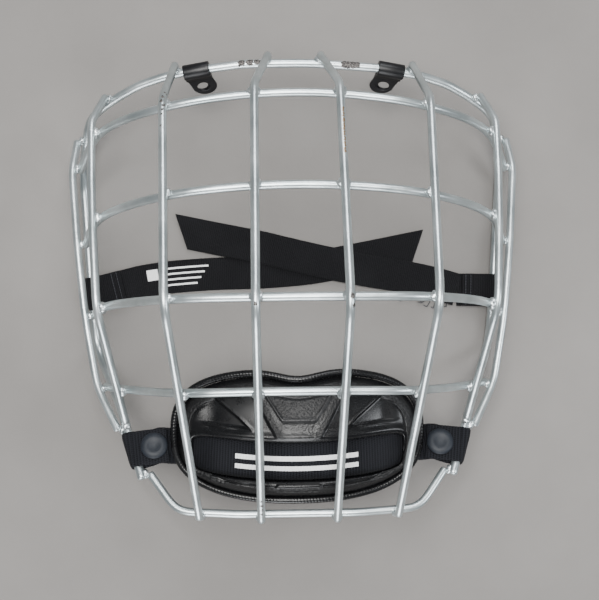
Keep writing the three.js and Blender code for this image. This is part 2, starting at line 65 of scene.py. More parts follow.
VIEW_DISTANCE = 575.0  # from the middle of the part's base
VIEW_SHIFT = (3.1, -7.0)  # of the camera across the part
VIEW_YAW = math.radians(2.1)
VIEW_ROLL = math.radians(0.6)
LENS = 67.5


def make_camera():
    turn = (Matrix.Rotation(VIEW_ROLL, 3, "Z") @ Matrix.Rotation(VIEW_YAW, 3, "Y")).transposed()
    data = bpy.data.cameras.new("camera")
    data.lens = LENS
    data.clip_end = 20.0
    camera = new_object("camera", data)
    place = turn @ Vector((*VIEW_SHIFT, VIEW_DISTANCE)) * MM
    camera.matrix_world = Matrix.Translation(place) @ turn.to_4x4()
    bpy.context.scene.camera = camera


make_camera()

# ---- Curves ---------------------------------------------------------------------------------


def unit(vectors):
    return vectors / np.linalg.norm(vectors, axis=-1, keepdims=True)


def run_length(points):
    """Distance along a polyline at each of its points."""
    return np.concatenate([[0.0], np.cumsum(np.linalg.norm(np.diff(points, axis=0), axis=1))])


def read_at(places, at, values):
    """Rows of values known at distances at, read at other distances along the same line."""
    return np.stack([np.interp(places, at, column) for column in values.T], axis=-1)


def respaced(points, step):
    """The same polyline with points at even steps of about this length."""
    at = run_length(points)
    count = max(2, round(at[-1] / step) + 1)
    return read_at(np.linspace(0, at[-1], count), at, points)


def softened(points, step, reach):
    """An evenly stepped curve along a polyline, with its corners rounded over about this reach."""
    line = respaced(points, step)
    pad = int(4 * reach / step)
    before = 2 * line[0] - line[pad:0:-1]
    after = 2 * line[-1] - line[-2:-pad - 2:-1]
    weights = np.exp(-0.5 * (np.arange(-pad, pad + 1) * step / reach) ** 2)
    weights /= weights.sum()
    padded = np.concatenate([before, line, after])
    smooth = np.stack([np.convolve(padded[:, k], weights, mode="valid") for k in range(3)], axis=1)
    smooth[0], smooth[-1] = line[0], line[-1]
    return smooth


def curve_through(points, step):
    """A centripetal Catmull-Rom curve through the points, in even steps."""
    p = np.array(points, float)
    p = np.concatenate([[2 * p[0] - p[1]], p, [2 * p[-1] - p[-2]]])
    knots = np.concatenate([[0.0], np.cumsum(np.linalg.norm(np.diff(p, axis=0), axis=1) ** 0.5)])
    dense = []
    for i in range(1, len(p) - 2):
        t0, t1, t2, t3 = knots[i - 1:i + 3]
        t = np.linspace(t1, t2, 40)[:, None]
        a1 = (t1 - t) / (t1 - t0) * p[i - 1] + (t - t0) / (t1 - t0) * p[i]
        a2 = (t2 - t) / (t2 - t1) * p[i] + (t - t1) / (t2 - t1) * p[i + 1]
        a3 = (t3 - t) / (t3 - t2) * p[i + 1] + (t - t2) / (t3 - t2) * p[i + 2]
        b1 = (t2 - t) / (t2 - t0) * a1 + (t - t0) / (t2 - t0) * a2
        b2 = (t3 - t) / (t3 - t1) * a2 + (t - t1) / (t3 - t1) * a3
        part = (t2 - t) / (t2 - t1) * b1 + (t - t1) / (t2 - t1) * b2
        dense.append(part if i == 1 else part[1:])
    return respaced(np.concatenate(dense), step)


def smoothstep(value, low, high):
    t = np.clip((value - low) / (high - low), 0.0, 1.0)
    return t * t * (3 - 2 * t)


def transported(line):
    """Two unit vectors across a curve at each of its points, turning as little as they can."""
    along = unit(np.gradient(line, axis=0))
    side = np.cross(along[0], [0.0, 0.0, 1.0])
    if np.linalg.norm(side) < 0.1:
        side = np.cross(along[0], [0.0, 1.0, 0.0])
    sides = []
    for direction in along:
        side = side - direction * np.dot(side, direction)
        side = side / np.linalg.norm(side)
        sides.append(side)
    sides = np.array(sides)
    return sides, np.cross(along, sides)


# ---- Meshes ---------------------------------------------------------------------------------


def piece(name, points, faces, material, mirrored=False, uv=None, values=None):
    """A smooth-shaded closed mesh from points in millimetres.

    uv has a pair for each point, and values holds named lists with a number for each point.
    """
    points = np.array(points, float) * MM
    if mirrored:
        points[:, 0] *= -1
    mesh = bpy.data.meshes.new(name)
    mesh.from_pydata(points.tolist(), [], [list(map(int, f)) for f in faces])
    for attribute, numbers in (values or {}).items():
        stored = mesh.attributes.new(attribute, "FLOAT", "POINT").data
        stored.foreach_set("value", np.array(numbers, np.float32))
    if uv is not None:
        corners = np.zeros(len(mesh.loops), np.int32)
        mesh.loops.foreach_get("vertex_index", corners)
        mesh.uv_layers.new(name="uv").data.foreach_set("uv", np.array(uv, np.float32)[corners].ravel())
    shell = bmesh.new()
    shell.from_mesh(mesh)
    bmesh.ops.recalc_face_normals(shell, faces=shell.faces)
    shell.to_mesh(mesh)
    shell.free()
    mesh.polygons.foreach_set("use_smooth", [True] * len(mesh.polygons))
    mesh.materials.append(material)
    return new_object(name, mesh)


def skin(rings, closed_row=False):
    """Faces over a row of equal closed rings of points. An open row gets a cap at each end."""
    rows, size = rings.shape[:2]
    index = np.arange(rows * size).reshape(rows, size)
    here, there = (index, np.roll(index, -1, axis=0)) if closed_row else (index[:-1], index[1:])
    quads = np.stack([here, np.roll(here, -1, axis=1), np.roll(there, -1, axis=1), there], axis=-1)
    faces = quads.reshape(-1, 4).tolist()
    if not closed_row:
        faces += [index[0][::-1].tolist(), index[-1].tolist()]
    return rings.reshape(-1, 3), faces


def joined(parts):
    """One set of points and faces from several."""
    points, faces, count = [], [], 0
    for part_points, part_faces in parts:
        points.append(part_points)
        faces += [[count + v for v in face] for face in part_faces]
        count += len(part_points)
    return np.concatenate(points), faces


def rings_along(line, sides, ups, radii, segments):
    """Rings of points round a line. radii has a row for each ring, with one number or one for each point."""
    turns = np.linspace(0, 2 * math.pi, segments, endpoint=False)
    circle = sides[:, None] * np.cos(turns)[None, :, None] + ups[:, None] * np.sin(turns)[None, :, None]
    return line[:, None] + circle * radii[..., None]


def revolved(profile, segments):
    """A shape turned about Z, from (radius, height) points that end on the axis or where they began."""
    turns = np.linspace(0, 2 * math.pi, segments, endpoint=False)
    rings = np.array([[[r * math.cos(a), r * math.sin(a), z] for a in turns] for r, z in profile])
    closed = profile[0] == profile[-1]
    return skin(rings[:-1] if closed else rings, closed)


def placed(points, origin, x_axis, y_axis, z_axis):
    """Points given in a frame of their own, moved to where that frame is."""
    points = np.array(points, float)
    return origin + points[:, :1] * x_axis + points[:, 1:2] * y_axis + points[:, 2:3] * z_axis


# ---- Materials ------------------------------------------------------------------------------


class Nodes:
    """A material's node tree, with short ways to add and join nodes."""

    def __init__(self, name, color, roughness, metallic=0.0, specular=0.5):
        self.material = bpy.data.materials.new(name)
        self.material.use_nodes = True
        self.tree = self.material.node_tree
        self.shader = self.tree.nodes["Principled BSDF"]
        self.shader.inputs["Base Color"].default_value = (*color, 1)
        self.shader.inputs["Roughness"].default_value = roughness
        self.shader.inputs["Metallic"].default_value = metallic
        self.shader.inputs["Specular IOR Level"].default_value = specular

    def add(self, kind, inputs=(), **settings):
        node = self.tree.nodes.new(kind)
        for key, value in settings.items():
            setattr(node, key, value)
        for key, value in dict(inputs).items():
            self.feed(node.inputs[key], value)
        return node

    def feed(self, socket, value):
        if isinstance(value, bpy.types.NodeSocket):
            self.tree.links.new(value, socket)
        else:
            socket.default_value = value

    def math(self, operation, first, second=0.0, third=0.0):
        node = self.add("ShaderNodeMath", operation=operation)
        for socket, value in zip(node.inputs, (first, second, third)):
            self.feed(socket, value)
        return node.outputs[0]

    def noise(self, scale, detail=3.0, roughness=0.5, vector=None):
        inputs = {"Scale": scale, "Detail": detail, "Roughness": roughness}
        inputs["Vector"] = vector or self.position()
        return self.add("ShaderNodeTexNoise", inputs).outputs["Fac"]

    def position(self):
        return self.add("ShaderNodeTexCoord").outputs["Object"]

    def value(self, attribute):
        return self.add("ShaderNodeAttribute", attribute_name=attribute).outputs["Fac"]

    def ramp(self, factor, low, high, color_low, color_high):
        node = self.add("ShaderNodeValToRGB", {"Fac": factor})
        first, last = node.color_ramp.elements
        first.position, last.position = low, high
        first.color, last.color = (*color_low, 1), (*color_high, 1)
        return node.outputs["Color"]

    def between(self, factor, low, high):
        """A number from low to high as factor goes from 0 to 1."""
        inputs = {"Value": factor, "To Min": low, "To Max": high}
        return self.add("ShaderNodeMapRange", inputs).outputs["Result"]

    def mask(self, factor, low, high):
        inputs = {"Value": factor, "From Min": low, "From Max": high}
        return self.add("ShaderNodeMapRange", inputs).outputs["Result"]

    def mix(self, factor, first, second):
        node = self.add("ShaderNodeMix", data_type="RGBA")
        for socket, value in ((node.inputs[0], factor), (node.inputs[6], first), (node.inputs[7], second)):
            self.feed(socket, (*value, 1) if isinstance(value, tuple) else value)
        return node.outputs[2]

    def bump(self, height, distance, strength=1.0, normal=None):
        inputs = {"Height": height, "Distance": distance * MM, "Strength": strength}
        if normal is not None:
            inputs["Normal"] = normal
        return self.add("ShaderNodeBump", inputs).outputs["Normal"]

    def finish(self, color=None, roughness=None, metallic=None, normal=None):
        wanted = {"Base Color": color, "Roughness": roughness, "Metallic": metallic, "Normal": normal}
        for socket, value in wanted.items():
            if value is not None:
                self.feed(self.shader.inputs[socket], value)
        return self.material


PAINT_LIGHT = (0.62, 0.67, 0.68)
PAINT_DARK = (0.4, 0.45, 0.46)
BARE_METAL = (0.022, 0.02, 0.02)
BARE_LIGHT = (0.2, 0.185, 0.175)
RUST = (0.4, 0.27, 0.17)
PAINT_METALLIC = 0.85
SPOT_RAGGED = 2.4  # how far, in millimetres, noise moves the edge of a spot
YARN_SPACING = 0.75  # of the ribs' pitch
PRINT_WHITE = (0.8, 0.8, 0.79)


def spots(nodes, places):
    """A mask over (point in millimetres, radius) spots with ragged edges."""
    ragged = nodes.math("MULTIPLY", nodes.math("SUBTRACT", nodes.noise(900.0), 0.5), SPOT_RAGGED * MM)
    here = nodes.position()
    covered = 0.0
    for centre, radius in places:
        inputs = {0: here, 1: tuple(c * MM for c in centre)}
        away = nodes.add("ShaderNodeVectorMath", inputs, operation="DISTANCE").outputs["Value"]
        near = nodes.math("LESS_THAN", nodes.math("ADD", away, ragged), radius * MM)
        covered = nodes.math("MAXIMUM", near, covered)
    return covered


def painted_wire(chips, rust):
    """Silver-grey paint with bare spots and rust spots."""
    nodes = Nodes("painted_wire", PAINT_LIGHT, 0.34, metallic=PAINT_METALLIC)
    cloud = nodes.noise(70.0)
    grain = nodes.noise(2600.0, detail=2.0)
    color = nodes.ramp(cloud, 0.3, 0.72, PAINT_DARK, PAINT_LIGHT)
    color = nodes.mix(nodes.math("MULTIPLY", nodes.mask(grain, 0.62, 0.75), 0.25), color, PAINT_DARK)
    color = nodes.mix(spots(nodes, rust), color, RUST)
    bare = spots(nodes, chips)
    steel = nodes.ramp(nodes.noise(1500.0), 0.4, 0.65, BARE_METAL, BARE_LIGHT)
    color = nodes.mix(bare, color, steel)
    rough = nodes.math("ADD", nodes.between(cloud, 0.27, 0.39), nodes.math("MULTIPLY", bare, 0.3))
    metal = nodes.math("SUBTRACT", PAINT_METALLIC, nodes.math("MULTIPLY", bare, 0.2))
    peel = nodes.bump(nodes.noise(420.0, detail=4.0), 0.05, 0.6)
    normal = nodes.bump(nodes.math("SUBTRACT", 1.0, bare), 0.15, 1.0, peel)
    return nodes.finish(color, rough, metal, normal)


def weld_paint():
    nodes = Nodes("weld_paint", PAINT_LIGHT, 0.3, metallic=PAINT_METALLIC)
    lump = nodes.noise(600.0, detail=4.0)
    color = nodes.ramp(lump, 0.35, 0.65, PAINT_DARK, (0.7, 0.73, 0.74))
    return nodes.finish(color, nodes.between(lump, 0.22, 0.4), normal=nodes.bump(lump, 0.25, 0.8))


def inside_bar(nodes, along, across, bar):
    """A mask over one printed bar."""
    tests = [
        nodes.math(operation, position, limit)
        for position, low, high in ((along, *bar[:2]), (across, *bar[2:]))
        for operation, limit in (("GREATER_THAN", low), ("LESS_THAN", high))
    ]
    inside = tests[0]
    for test in tests[1:]:
        inside = nodes.math("MULTIPLY", inside, test)
    return inside


def webbing_cloth(name, pitch, light, dark, bars=()):
    """Woven webbing, with plain white printed bars on some.

    The mesh carries the ribs, and uv is (along, across) in centimetres. A bar is (along low, high, across
    low, high) in the same units.
    """
    nodes = Nodes(name, dark, 0.86, specular=0.08)
    nodes.shader.inputs["Sheen Weight"].default_value = 0.02
    nodes.shader.inputs["Sheen Roughness"].default_value = 0.5
    uv = nodes.add("ShaderNodeUVMap", uv_map="uv").outputs[0]
    split = nodes.add("ShaderNodeSeparateXYZ", {"Vector": uv})
    along, across = split.outputs["X"], split.outputs["Y"]
    ribs = nodes.math("MULTIPLY", along, 10.0 / pitch)
    row = nodes.math("MODULO", nodes.math("FLOOR", ribs), 2.0)
    yarns = nodes.math("MULTIPLY", across, 10.0 / (pitch * YARN_SPACING))
    yarns = nodes.math("MULTIPLY_ADD", row, 0.5, yarns)
    yarn = nodes.math("SINE", nodes.math("MULTIPLY", yarns, 2 * math.pi))
    rib = nodes.math("COSINE", nodes.math("MULTIPLY", ribs, 2 * math.pi))
    fuzz = nodes.noise(5200.0, detail=2.0)
    weave = nodes.math("MULTIPLY_ADD", yarn, 0.3, nodes.math("MULTIPLY_ADD", rib, 0.25, fuzz))
    # The colour follows the weave's height: the yarn pattern, with painted light on the crests of the ribs and
    # painted shade in the grooves between them.
    color = nodes.ramp(nodes.math("MULTIPLY_ADD", weave, 0.5, 0.25), 0.25, 0.8, dark, light)
    worn = nodes.mask(nodes.noise(45.0), 0.5, 0.75)
    color = nodes.mix(nodes.math("MULTIPLY", worn, 0.3), color, light)
    if bars:
        inked = 0.0
        for bar in bars:
            inked = nodes.math("MAXIMUM", inside_bar(nodes, along, across, bar), inked)
        color = nodes.mix(inked, color, PRINT_WHITE)
    return nodes.finish(color, nodes.between(fuzz, 0.78, 0.95), normal=nodes.bump(weave, 0.16, 0.9))


def moulded_foam():
    """Satin black moulded skin, pebbled where the mesh says so."""
    nodes = Nodes("moulded_foam", (0.01, 0.01, 0.011), 0.32, specular=0.36)
    scale = {"Scale": 1050.0, "Vector": nodes.position()}
    cell = nodes.add("ShaderNodeTexVoronoi", scale, feature="SMOOTH_F1")
    domes = nodes.math("SUBTRACT", 1.0, cell.outputs["Distance"])
    pebble = nodes.math("MULTIPLY", domes, nodes.value("pebble"))
    skin_grain = nodes.noise(1500.0, detail=4.0, roughness=0.6)
    scuff = nodes.mask(nodes.noise(60.0, detail=6.0, roughness=0.65), 0.52, 0.72)
    color = nodes.mix(nodes.math("MULTIPLY", scuff, 0.35), (0.004, 0.004, 0.0045), (0.012, 0.012, 0.013))
    rough = nodes.math("MULTIPLY_ADD", scuff, 0.1, nodes.between(skin_grain, 0.22, 0.31))
    rough = nodes.math("MULTIPLY_ADD", nodes.value("pebble"), 0.22, rough)
    fine = nodes.bump(skin_grain, 0.05, 0.5)
    return nodes.finish(color, rough, normal=nodes.bump(pebble, 0.36, 1.0, fine))


def lining_cloth():
    nodes = Nodes("lining_cloth", (0.02, 0.02, 0.022), 0.95, specular=0.2)
    nodes.shader.inputs["Sheen Weight"].default_value = 0.08
    nodes.shader.inputs["Sheen Roughness"].default_value = 0.6
    nap = nodes.noise(2600.0, detail=5.0, roughness=0.7)
    color = nodes.ramp(nap, 0.3, 0.7, (0.006, 0.006, 0.0065), (0.022, 0.022, 0.024))
    return nodes.finish(color, nodes.between(nap, 0.85, 1.0), normal=nodes.bump(nap, 0.2, 0.8))


def coated_steel():
    """Black coating, rubbed through to the steel where the mesh says it wears."""
    nodes = Nodes("coated_steel", (0.01, 0.01, 0.011), 0.36, specular=0.32)
    stretched = nodes.add("ShaderNodeMapping", {"Vector": nodes.position(), "Scale": (0.25, 1.0, 1.0)})
    streak = nodes.noise(1300.0, detail=6.0, roughness=0.7, vector=stretched.outputs[0])
    rubbed = nodes.mask(nodes.math("MULTIPLY_ADD", nodes.value("wear"), 0.32, streak), 0.9, 0.93)
    color = nodes.mix(rubbed, (0.004, 0.004, 0.005), (0.5, 0.5, 0.5))
    metal = nodes.math("MULTIPLY", rubbed, 0.9)
    rough = nodes.math("MULTIPLY_ADD", rubbed, -0.08, nodes.between(streak, 0.3, 0.44))
    coat = nodes.bump(nodes.math("SUBTRACT", nodes.noise(900.0), rubbed), 0.07, 0.7)
    return nodes.finish(color, rough, metal, coat)


def sewing_thread():
    nodes = Nodes("sewing_thread", (0.03, 0.031, 0.036), 0.7, specular=0.3)
    twist = nodes.noise(3000.0)
    color = nodes.ramp(twist, 0.3, 0.7, (0.015, 0.016, 0.02), (0.06, 0.062, 0.07))
    return nodes.finish(color, normal=nodes.bump(twist, 0.08, 0.8))


def snap_plastic():
    nodes = Nodes("snap_plastic", (0.03, 0.036, 0.048), 0.5, specular=0.3)
    scratches = nodes.noise(1400.0, detail=8.0, roughness=0.75)
    color = nodes.ramp(scratches, 0.35, 0.7, (0.007, 0.009, 0.013), (0.016, 0.02, 0.027))
    return nodes.finish(color, nodes.between(scratches, 0.44, 0.6), normal=nodes.bump(scratches, 0.06, 0.6))


def snap_metal():
    nodes = Nodes("snap_metal", (0.4, 0.4, 0.41), 0.35, metallic=1.0)
    tarnish = nodes.noise(500.0, detail=5.0)
    color = nodes.ramp(tarnish, 0.35, 0.7, (0.22, 0.21, 0.2), (0.5, 0.5, 0.51))
    return nodes.finish(color, nodes.between(tarnish, 0.28, 0.5), normal=nodes.bump(tarnish, 0.04, 0.5))


def floor_paint():
    nodes = Nodes("floor_paint", (0.19, 0.18, 0.17), 0.85, specular=0.2)
    cloud = nodes.noise(9.0, detail=8.0, roughness=0.6)
    color = nodes.ramp(cloud, 0.25, 0.75, (0.165, 0.157, 0.149), (0.205, 0.196, 0.187))
    return nodes.finish(color, normal=nodes.bump(nodes.noise(260.0, detail=6.0), 0.2, 0.4))


# ---- Webbing --------------------------------------------------------------------------------

RIB_STEPS = 4
RIB_HEIGHT = 0.16
ACROSS = 14
SLANT_REACH = 24.0  # the rows of ribs turn towards a slanted end over this length


def webbing(line, across, width, thickness, pitch, slant=0.0):
    """A strap along an evenly stepped line.

    The far end may be cut at an angle: slant is how much longer one edge is than the other.
    """
    tail = (line[-1] - line[-2]) / np.linalg.norm(line[-1] - line[-2])
    longer = np.concatenate([line, [line[-1] + tail * (slant + 1)]])
    wide = np.concatenate([across, across[-1:]])
    at = run_length(longer)
    along = unit(np.gradient(longer, axis=0))
    wide = unit(wide - along * np.sum(wide * along, axis=1, keepdims=True))
    normal = np.cross(along, wide)
    length = at[-2]
    rows = round(length / pitch * RIB_STEPS) + 1
    s = np.linspace(0, length, rows)[:, None]
    y = np.linspace(-0.5, 0.5, ACROSS + 1)[None, :]
    s = s + slant * y * smoothstep(s, length - SLANT_REACH, length)
    rib = RIB_HEIGHT * (0.5 + 0.5 * np.cos(2 * math.pi * s / pitch))
    selvedge = 1 - 0.6 * np.abs(2 * y) ** 9
    half = (thickness / 2 - RIB_HEIGHT) * selvedge + rib * selvedge
    spread = y * width * (1 + 0.012 * (rib / RIB_HEIGHT - 0.5))
    middle = read_at(s, at, longer) + read_at(s, at, wide) * spread[..., None]
    lift = read_at(s, at, normal) * half[..., None]
    rings = np.concatenate([middle + lift, (middle - lift)[:, ::-1]], axis=1)
    uv = np.stack([s, y * width + 0 * s], axis=-1) / 10
    uv = np.concatenate([uv, uv[:, ::-1]], axis=1)
    points, faces = skin(rings)
    return points, faces, uv.reshape(-1, 2)


# ---- Side straps: the two free cords --------------------------------------------------------

STRAP_W, STRAP_T = 16.5, 1.2
STRAP_PITCH = 0.95
STRAP_SLANT = 9.6
STRAP_ROUTES = {
    "left": [
        (-83.4, 1.4, 3.7), (-77, 3, 2.6), (-64, 5, 1.3), (-52.6, 6, 0.9), (-37.3, 6.8, 0.8),
        (-16.9, 7.2, 0.8), (8.7, 9.2, 0.8), (31.2, 13.2, 0.8), (63.6, 19.4, 0.8),
    ],
    "right": [
        (83.2, -2.6, 3.8), (72.1, 0.7, 3.4), (54.7, 4.6, 3), (34.3, 8.2, 2.7), (13.8, 12.6, 2.7),
        (-3, 16.6, 2.7), (-16.8, 20, 2.6), (-37.3, 24.2, 2.2), (-56.7, 28.3, 1.2),
    ],
}
STRAP_PRINT = [(1.0, 1.55, -0.05, 0.5)]
STRAP_PRINT += [(1.95, 4.1 - 0.2 * k, 0.4 - 0.28 * k, 0.49 - 0.28 * k) for k in range(4)]
# The light tone is painted light on the ribs' crests and the colour of worn patches; the dark tone is painted
# shade in the grooves.
STRAP_LIGHT, STRAP_DARK = (0.015, 0.015, 0.017), (0.002, 0.002, 0.0022)

strap_cloth = {
    "left": webbing_cloth("strap_webbing_left", STRAP_PITCH, STRAP_LIGHT, STRAP_DARK, STRAP_PRINT),
    "right": webbing_cloth("strap_webbing_right", STRAP_PITCH, STRAP_LIGHT, STRAP_DARK),
}


def follow_strap(made):
    """Bakes the piece's placement into its points; it is attached to no body and lies still."""
    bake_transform(made)


def free_strap(side):
    line = curve_through(STRAP_ROUTES[side], STRAP_PITCH / RIB_STEPS)
    along = unit(np.gradient(line, axis=0))
    across = unit(np.stack([-along[:, 1], along[:, 0], 0 * along[:, 0]], axis=1))
    across *= np.sign(across[:, 1:2])
    points, faces, uv = webbing(line, across, STRAP_W, STRAP_T, STRAP_PITCH, STRAP_SLANT)
    strap = piece(f"loose_strap_{side}", points, faces, strap_cloth[side], uv=uv)
    follow_strap(strap)
    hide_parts(f"side_strap_{side}")
    return line


strap_lines = {side: free_strap(side) for side in SIDES}

# ---- Wires ----------------------------------------------------------------------------------

WIRE_D, RIM_D = 3.8, 4.2
WIRE_STEP = 1.2
BEND_SOFTENING = 2.2  # the facets of a bend are rounded over about this reach
WIRE_SIDES = 20
END_ROUNDING = 0.5  # of the wire's radius
MERGE_DISTANCE = 0.00002  # metres
WELD_REACH = 5.2  # wires whose middles come this near each other are welded


def welded_corners(node):
    """A CAD node's corner points in millimetres, and its triangles, with corners that meet merged."""
    joined = bmesh.new()
    joined.from_mesh(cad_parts[node].data)
    bmesh.ops.remove_doubles(joined, verts=joined.verts, dist=MERGE_DISTANCE)
    bmesh.ops.triangulate(joined, faces=joined.faces)
    joined.verts.index_update()
    corners = np.array([v.co for v in joined.verts]) / MM
    triangles = [[v.index for v in f.verts] for f in joined.faces]
    joined.free()
    return corners, triangles


def centreline(node, diameter):
    """The middle of each ring of corners of a faceted wire, from one end to the other."""
    corners, triangles = welded_corners(node)
    beside = {}
    for triangle in triangles:
        for v in triangle:
            beside.setdefault(v, set()).update(triangle)

    def layers(start):
        seen, layer, found = set(start), set(start), []
        while layer:
            found.append(sorted(layer))
            layer = {n for v in layer for n in beside[v]} - seen
            seen |= layer
        return found

    end = layers([0])[-1][0]
    near = [v for v in range(len(corners)) if np.linalg.norm(corners[v] - corners[end]) < 1.2 * diameter]
    cap = []
    for triangle in triangles:
        if end in triangle:
            a, b, c = corners[triangle]
            facing = unit(np.cross(b - a, c - a))
            flat = [v for v in near if abs(np.dot(corners[v] - a, facing)) < 0.02]
            cap = max(cap, flat, key=len)
    return np.array([corners[ring].mean(axis=0) for ring in layers(cap)])


def tube(line, radius):
    """A round wire along a line, with slightly rounded ends."""
    at = run_length(line)
    cap = END_ROUNDING * radius
    angles = np.radians([14, 38, 62, 90])
    inset = cap * (1 - np.cos(angles))
    narrowed = radius * np.sin(angles)
    body = at[(at > cap + 0.3) & (at < at[-1] - cap - 0.3)]
    places = np.concatenate([inset, body, (at[-1] - inset)[::-1]])
    radii = np.concatenate([narrowed, np.full(len(body), radius), narrowed[::-1]])
    middles, sides, ups = (read_at(places, at, values) for values in (line, *transported(line)))
    return skin(rings_along(middles, sides, ups, radii[:, None], WIRE_SIDES))


WIRE_PREFIXES = ("cross_wire", "face_bar", "side_bar")
WIRES = [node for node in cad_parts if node.endswith("_wire") or node.startswith(WIRE_PREFIXES)]
wire_lines = {}
for node in WIRES:
    diameter = RIM_D if node == "rim_wire" else WIRE_D
    wire_lines[node] = softened(centreline(node, diameter), WIRE_STEP, BEND_SOFTENING)


def level(line, axis, value):
    """Where a line's X (axis 0) or Y (axis 1) first has this value: the point, and the line's direction."""
    offsets = line[:, axis] - value
    i = int(np.argmax(offsets[:-1] * offsets[1:] <= 0))
    t = offsets[i] / (offsets[i] - offsets[i + 1])
    return line[i] * (1 - t) + line[i + 1] * t, unit(line[i + 1] - line[i])


def chip(node, axis, value, lean, radius):
    """A bare spot on the front of a wire, leaning to one side of its crest."""
    point, _ = level(wire_lines[node], axis, value)
    return point + WIRE_D / 2 * unit(np.array([lean, 0.2, 1.0])), radius


CHIPS = [
    *[chip("face_bar_outer_left", 1, 84.5 - 2 * k, 0.5 - 0.35 * (k % 3), 0.85 - 0.07 * k) for k in range(6)],
    chip("face_bar_outer_left", 1, 69.0, -0.4, 0.5),
    *[chip("face_bar_inner_left", 1, -98.5 - 2.2 * k, 0.1, 0.7) for k in range(5)],
    chip("face_bar_inner_right", 1, -5.8, 0.6, 1.1),
    chip("face_bar_inner_right", 1, -9.5, 0.9, 0.8),
    chip("face_bar_inner_left", 1, -8.6, -0.2, 0.8),
    *[chip("rim_wire", 0, -15.5 - 1.7 * k, 0.4 - 0.4 * (k % 2), 1.6 - 0.25 * (k % 3)) for k in range(7)],
    *[chip("rim_wire", 0, 24.0 + 1.8 * k, 0.0, 1.9) for k in range(4)],
]
RUST_STREAK = [chip("face_bar_inner_right", 1, 76.0 - 1.25 * k, 0.42, 0.5 + 0.1 * (k % 3)) for k in range(17)]
wire_paint = painted_wire(CHIPS, RUST_STREAK)

for node, line in wire_lines.items():
    points, faces = tube(line, (RIM_D if node == "rim_wire" else WIRE_D) / 2)
    painted = piece(f"painted_{node}", points, faces, wire_paint)
    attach(painted, "cage")
    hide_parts(node)


def crossings():
    """Where two wires meet: the point between, the directions across and along, and if one ends there."""
    found = []
    names = list(wire_lines)
    for i, first in enumerate(names):
        for second in names[i + 1:]:
            a, b = wire_lines[first], wire_lines[second]
            apart = np.linalg.norm(a[:, None] - b[None], axis=2)
            nearest = apart.min(axis=1)
            close = np.flatnonzero(nearest < WELD_REACH)
            for run in np.split(close, np.flatnonzero(np.diff(close) > 1) + 1):
                if len(run):
                    k = run[np.argmin(nearest[run])]
                    other = b[np.argmin(apart[k])]
                    along = unit(a[min(k + 1, len(a) - 1)] - a[max(k - 1, 0)])
                    ends = [a[0], a[-1], b[0], b[-1]]
                    at_end = min(np.linalg.norm(a[k] - end) for end in ends) < NEAR_END
                    found.append(((a[k] + other) / 2, unit(other - a[k]), along, at_end))
    return found


BEAD_SIZE = (3.0, 2.6, 2.2)  # along one wire, across it, and from wire to wire
BEAD_ROUGHNESS = 0.09  # of its size
BEAD_LUMPS = np.array([5.0, 4.0, 3.0])  # how the lumps follow one another in X, Y and Z
NEAR_END = 7.0  # from the crossing to the end of either wire
END_BEAD = 0.8  # beads at the end of a wire are smaller


def weld_beads():
    ball = bmesh.new()
    bmesh.ops.create_icosphere(ball, subdivisions=3, radius=1.0)
    unit_points = np.array([v.co for v in ball.verts])
    unit_faces = [[v.index for v in f.verts] for f in ball.faces]
    ball.free()
    lumps = unit_points @ BEAD_LUMPS
    parts = []
    for centre, away, along, at_end in crossings():
        along = unit(along - away * np.dot(along, away))
        wobble = 1 + BEAD_ROUGHNESS * np.array([math.sin(lump + dice.random() * 0.4) for lump in lumps])
        sizes = np.array(BEAD_SIZE) * [1 + dice.uniform(-0.1, 0.1) for _ in range(3)]
        shape = unit_points * wobble[:, None] * sizes * (END_BEAD if at_end else 1)
        parts.append((placed(shape, centre, along, np.cross(away, along), away), unit_faces))
    points, faces = joined(parts)
    beads = piece("weld_beads", points, faces, weld_paint())
    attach(beads, "cage")


weld_beads()

# ---- Top clips ------------------------------------------------------------------------------

CLIP = {
    "x": 46.0, "steel": 1.1, "clearance": 0.12, "width": 12.5, "length": 16.5, "neck": 2.6,
    "hole": 6.4, "hole_at": 11.0, "end": 5.6, "lean": 0.7,
}
CLIP_LEGS = [(0.0, 0.0, 0.56), (-0.9, 0.5, -0.56)]  # shift along the wire, how much shorter, and height
CLIP_TILT = math.radians(60)
PLATE_MERGE = 1e-4
clip_steel = coated_steel()


def outline_plate(name, outlines, thickness, bevel):
    """A flat plate with rounded edges, from closed outlines: the first is its edge, the others are holes."""
    curve = bpy.data.curves.new(name, "CURVE")
    curve.dimensions = "2D"
    curve.fill_mode = "BOTH"
    curve.extrude = thickness / 2 - bevel
    curve.bevel_depth = bevel
    curve.bevel_resolution = 2
    for outline in outlines:
        spline = curve.splines.new("POLY")
        spline.points.add(len(outline) - 1)
        for point, (x, y) in zip(spline.points, outline):
            point.co = (x, y, 0, 1)
        spline.use_cyclic_u = True
    holder = new_object(name, curve)
    bpy.context.view_layer.update()
    mesh = bpy.data.meshes.new_from_object(holder.evaluated_get(bpy.context.evaluated_depsgraph_get()))
    welded = bmesh.new()
    welded.from_mesh(mesh)
    bmesh.ops.remove_doubles(welded, verts=welded.verts, dist=PLATE_MERGE)
    points = np.array([v.co for v in welded.verts])
    faces = [[v.index for v in f.verts] for f in welded.faces]
    welded.free()
    bpy.data.objects.remove(holder)
    bpy.data.meshes.remove(mesh)
    return points, faces


def arc(x, y, radius, start, end, count):
    """Points on a circle, from one angle to another in degrees."""
    angles = np.radians(np.linspace(start, end, count))
    return [(x + radius * math.cos(a), y + radius * math.sin(a)) for a in angles]


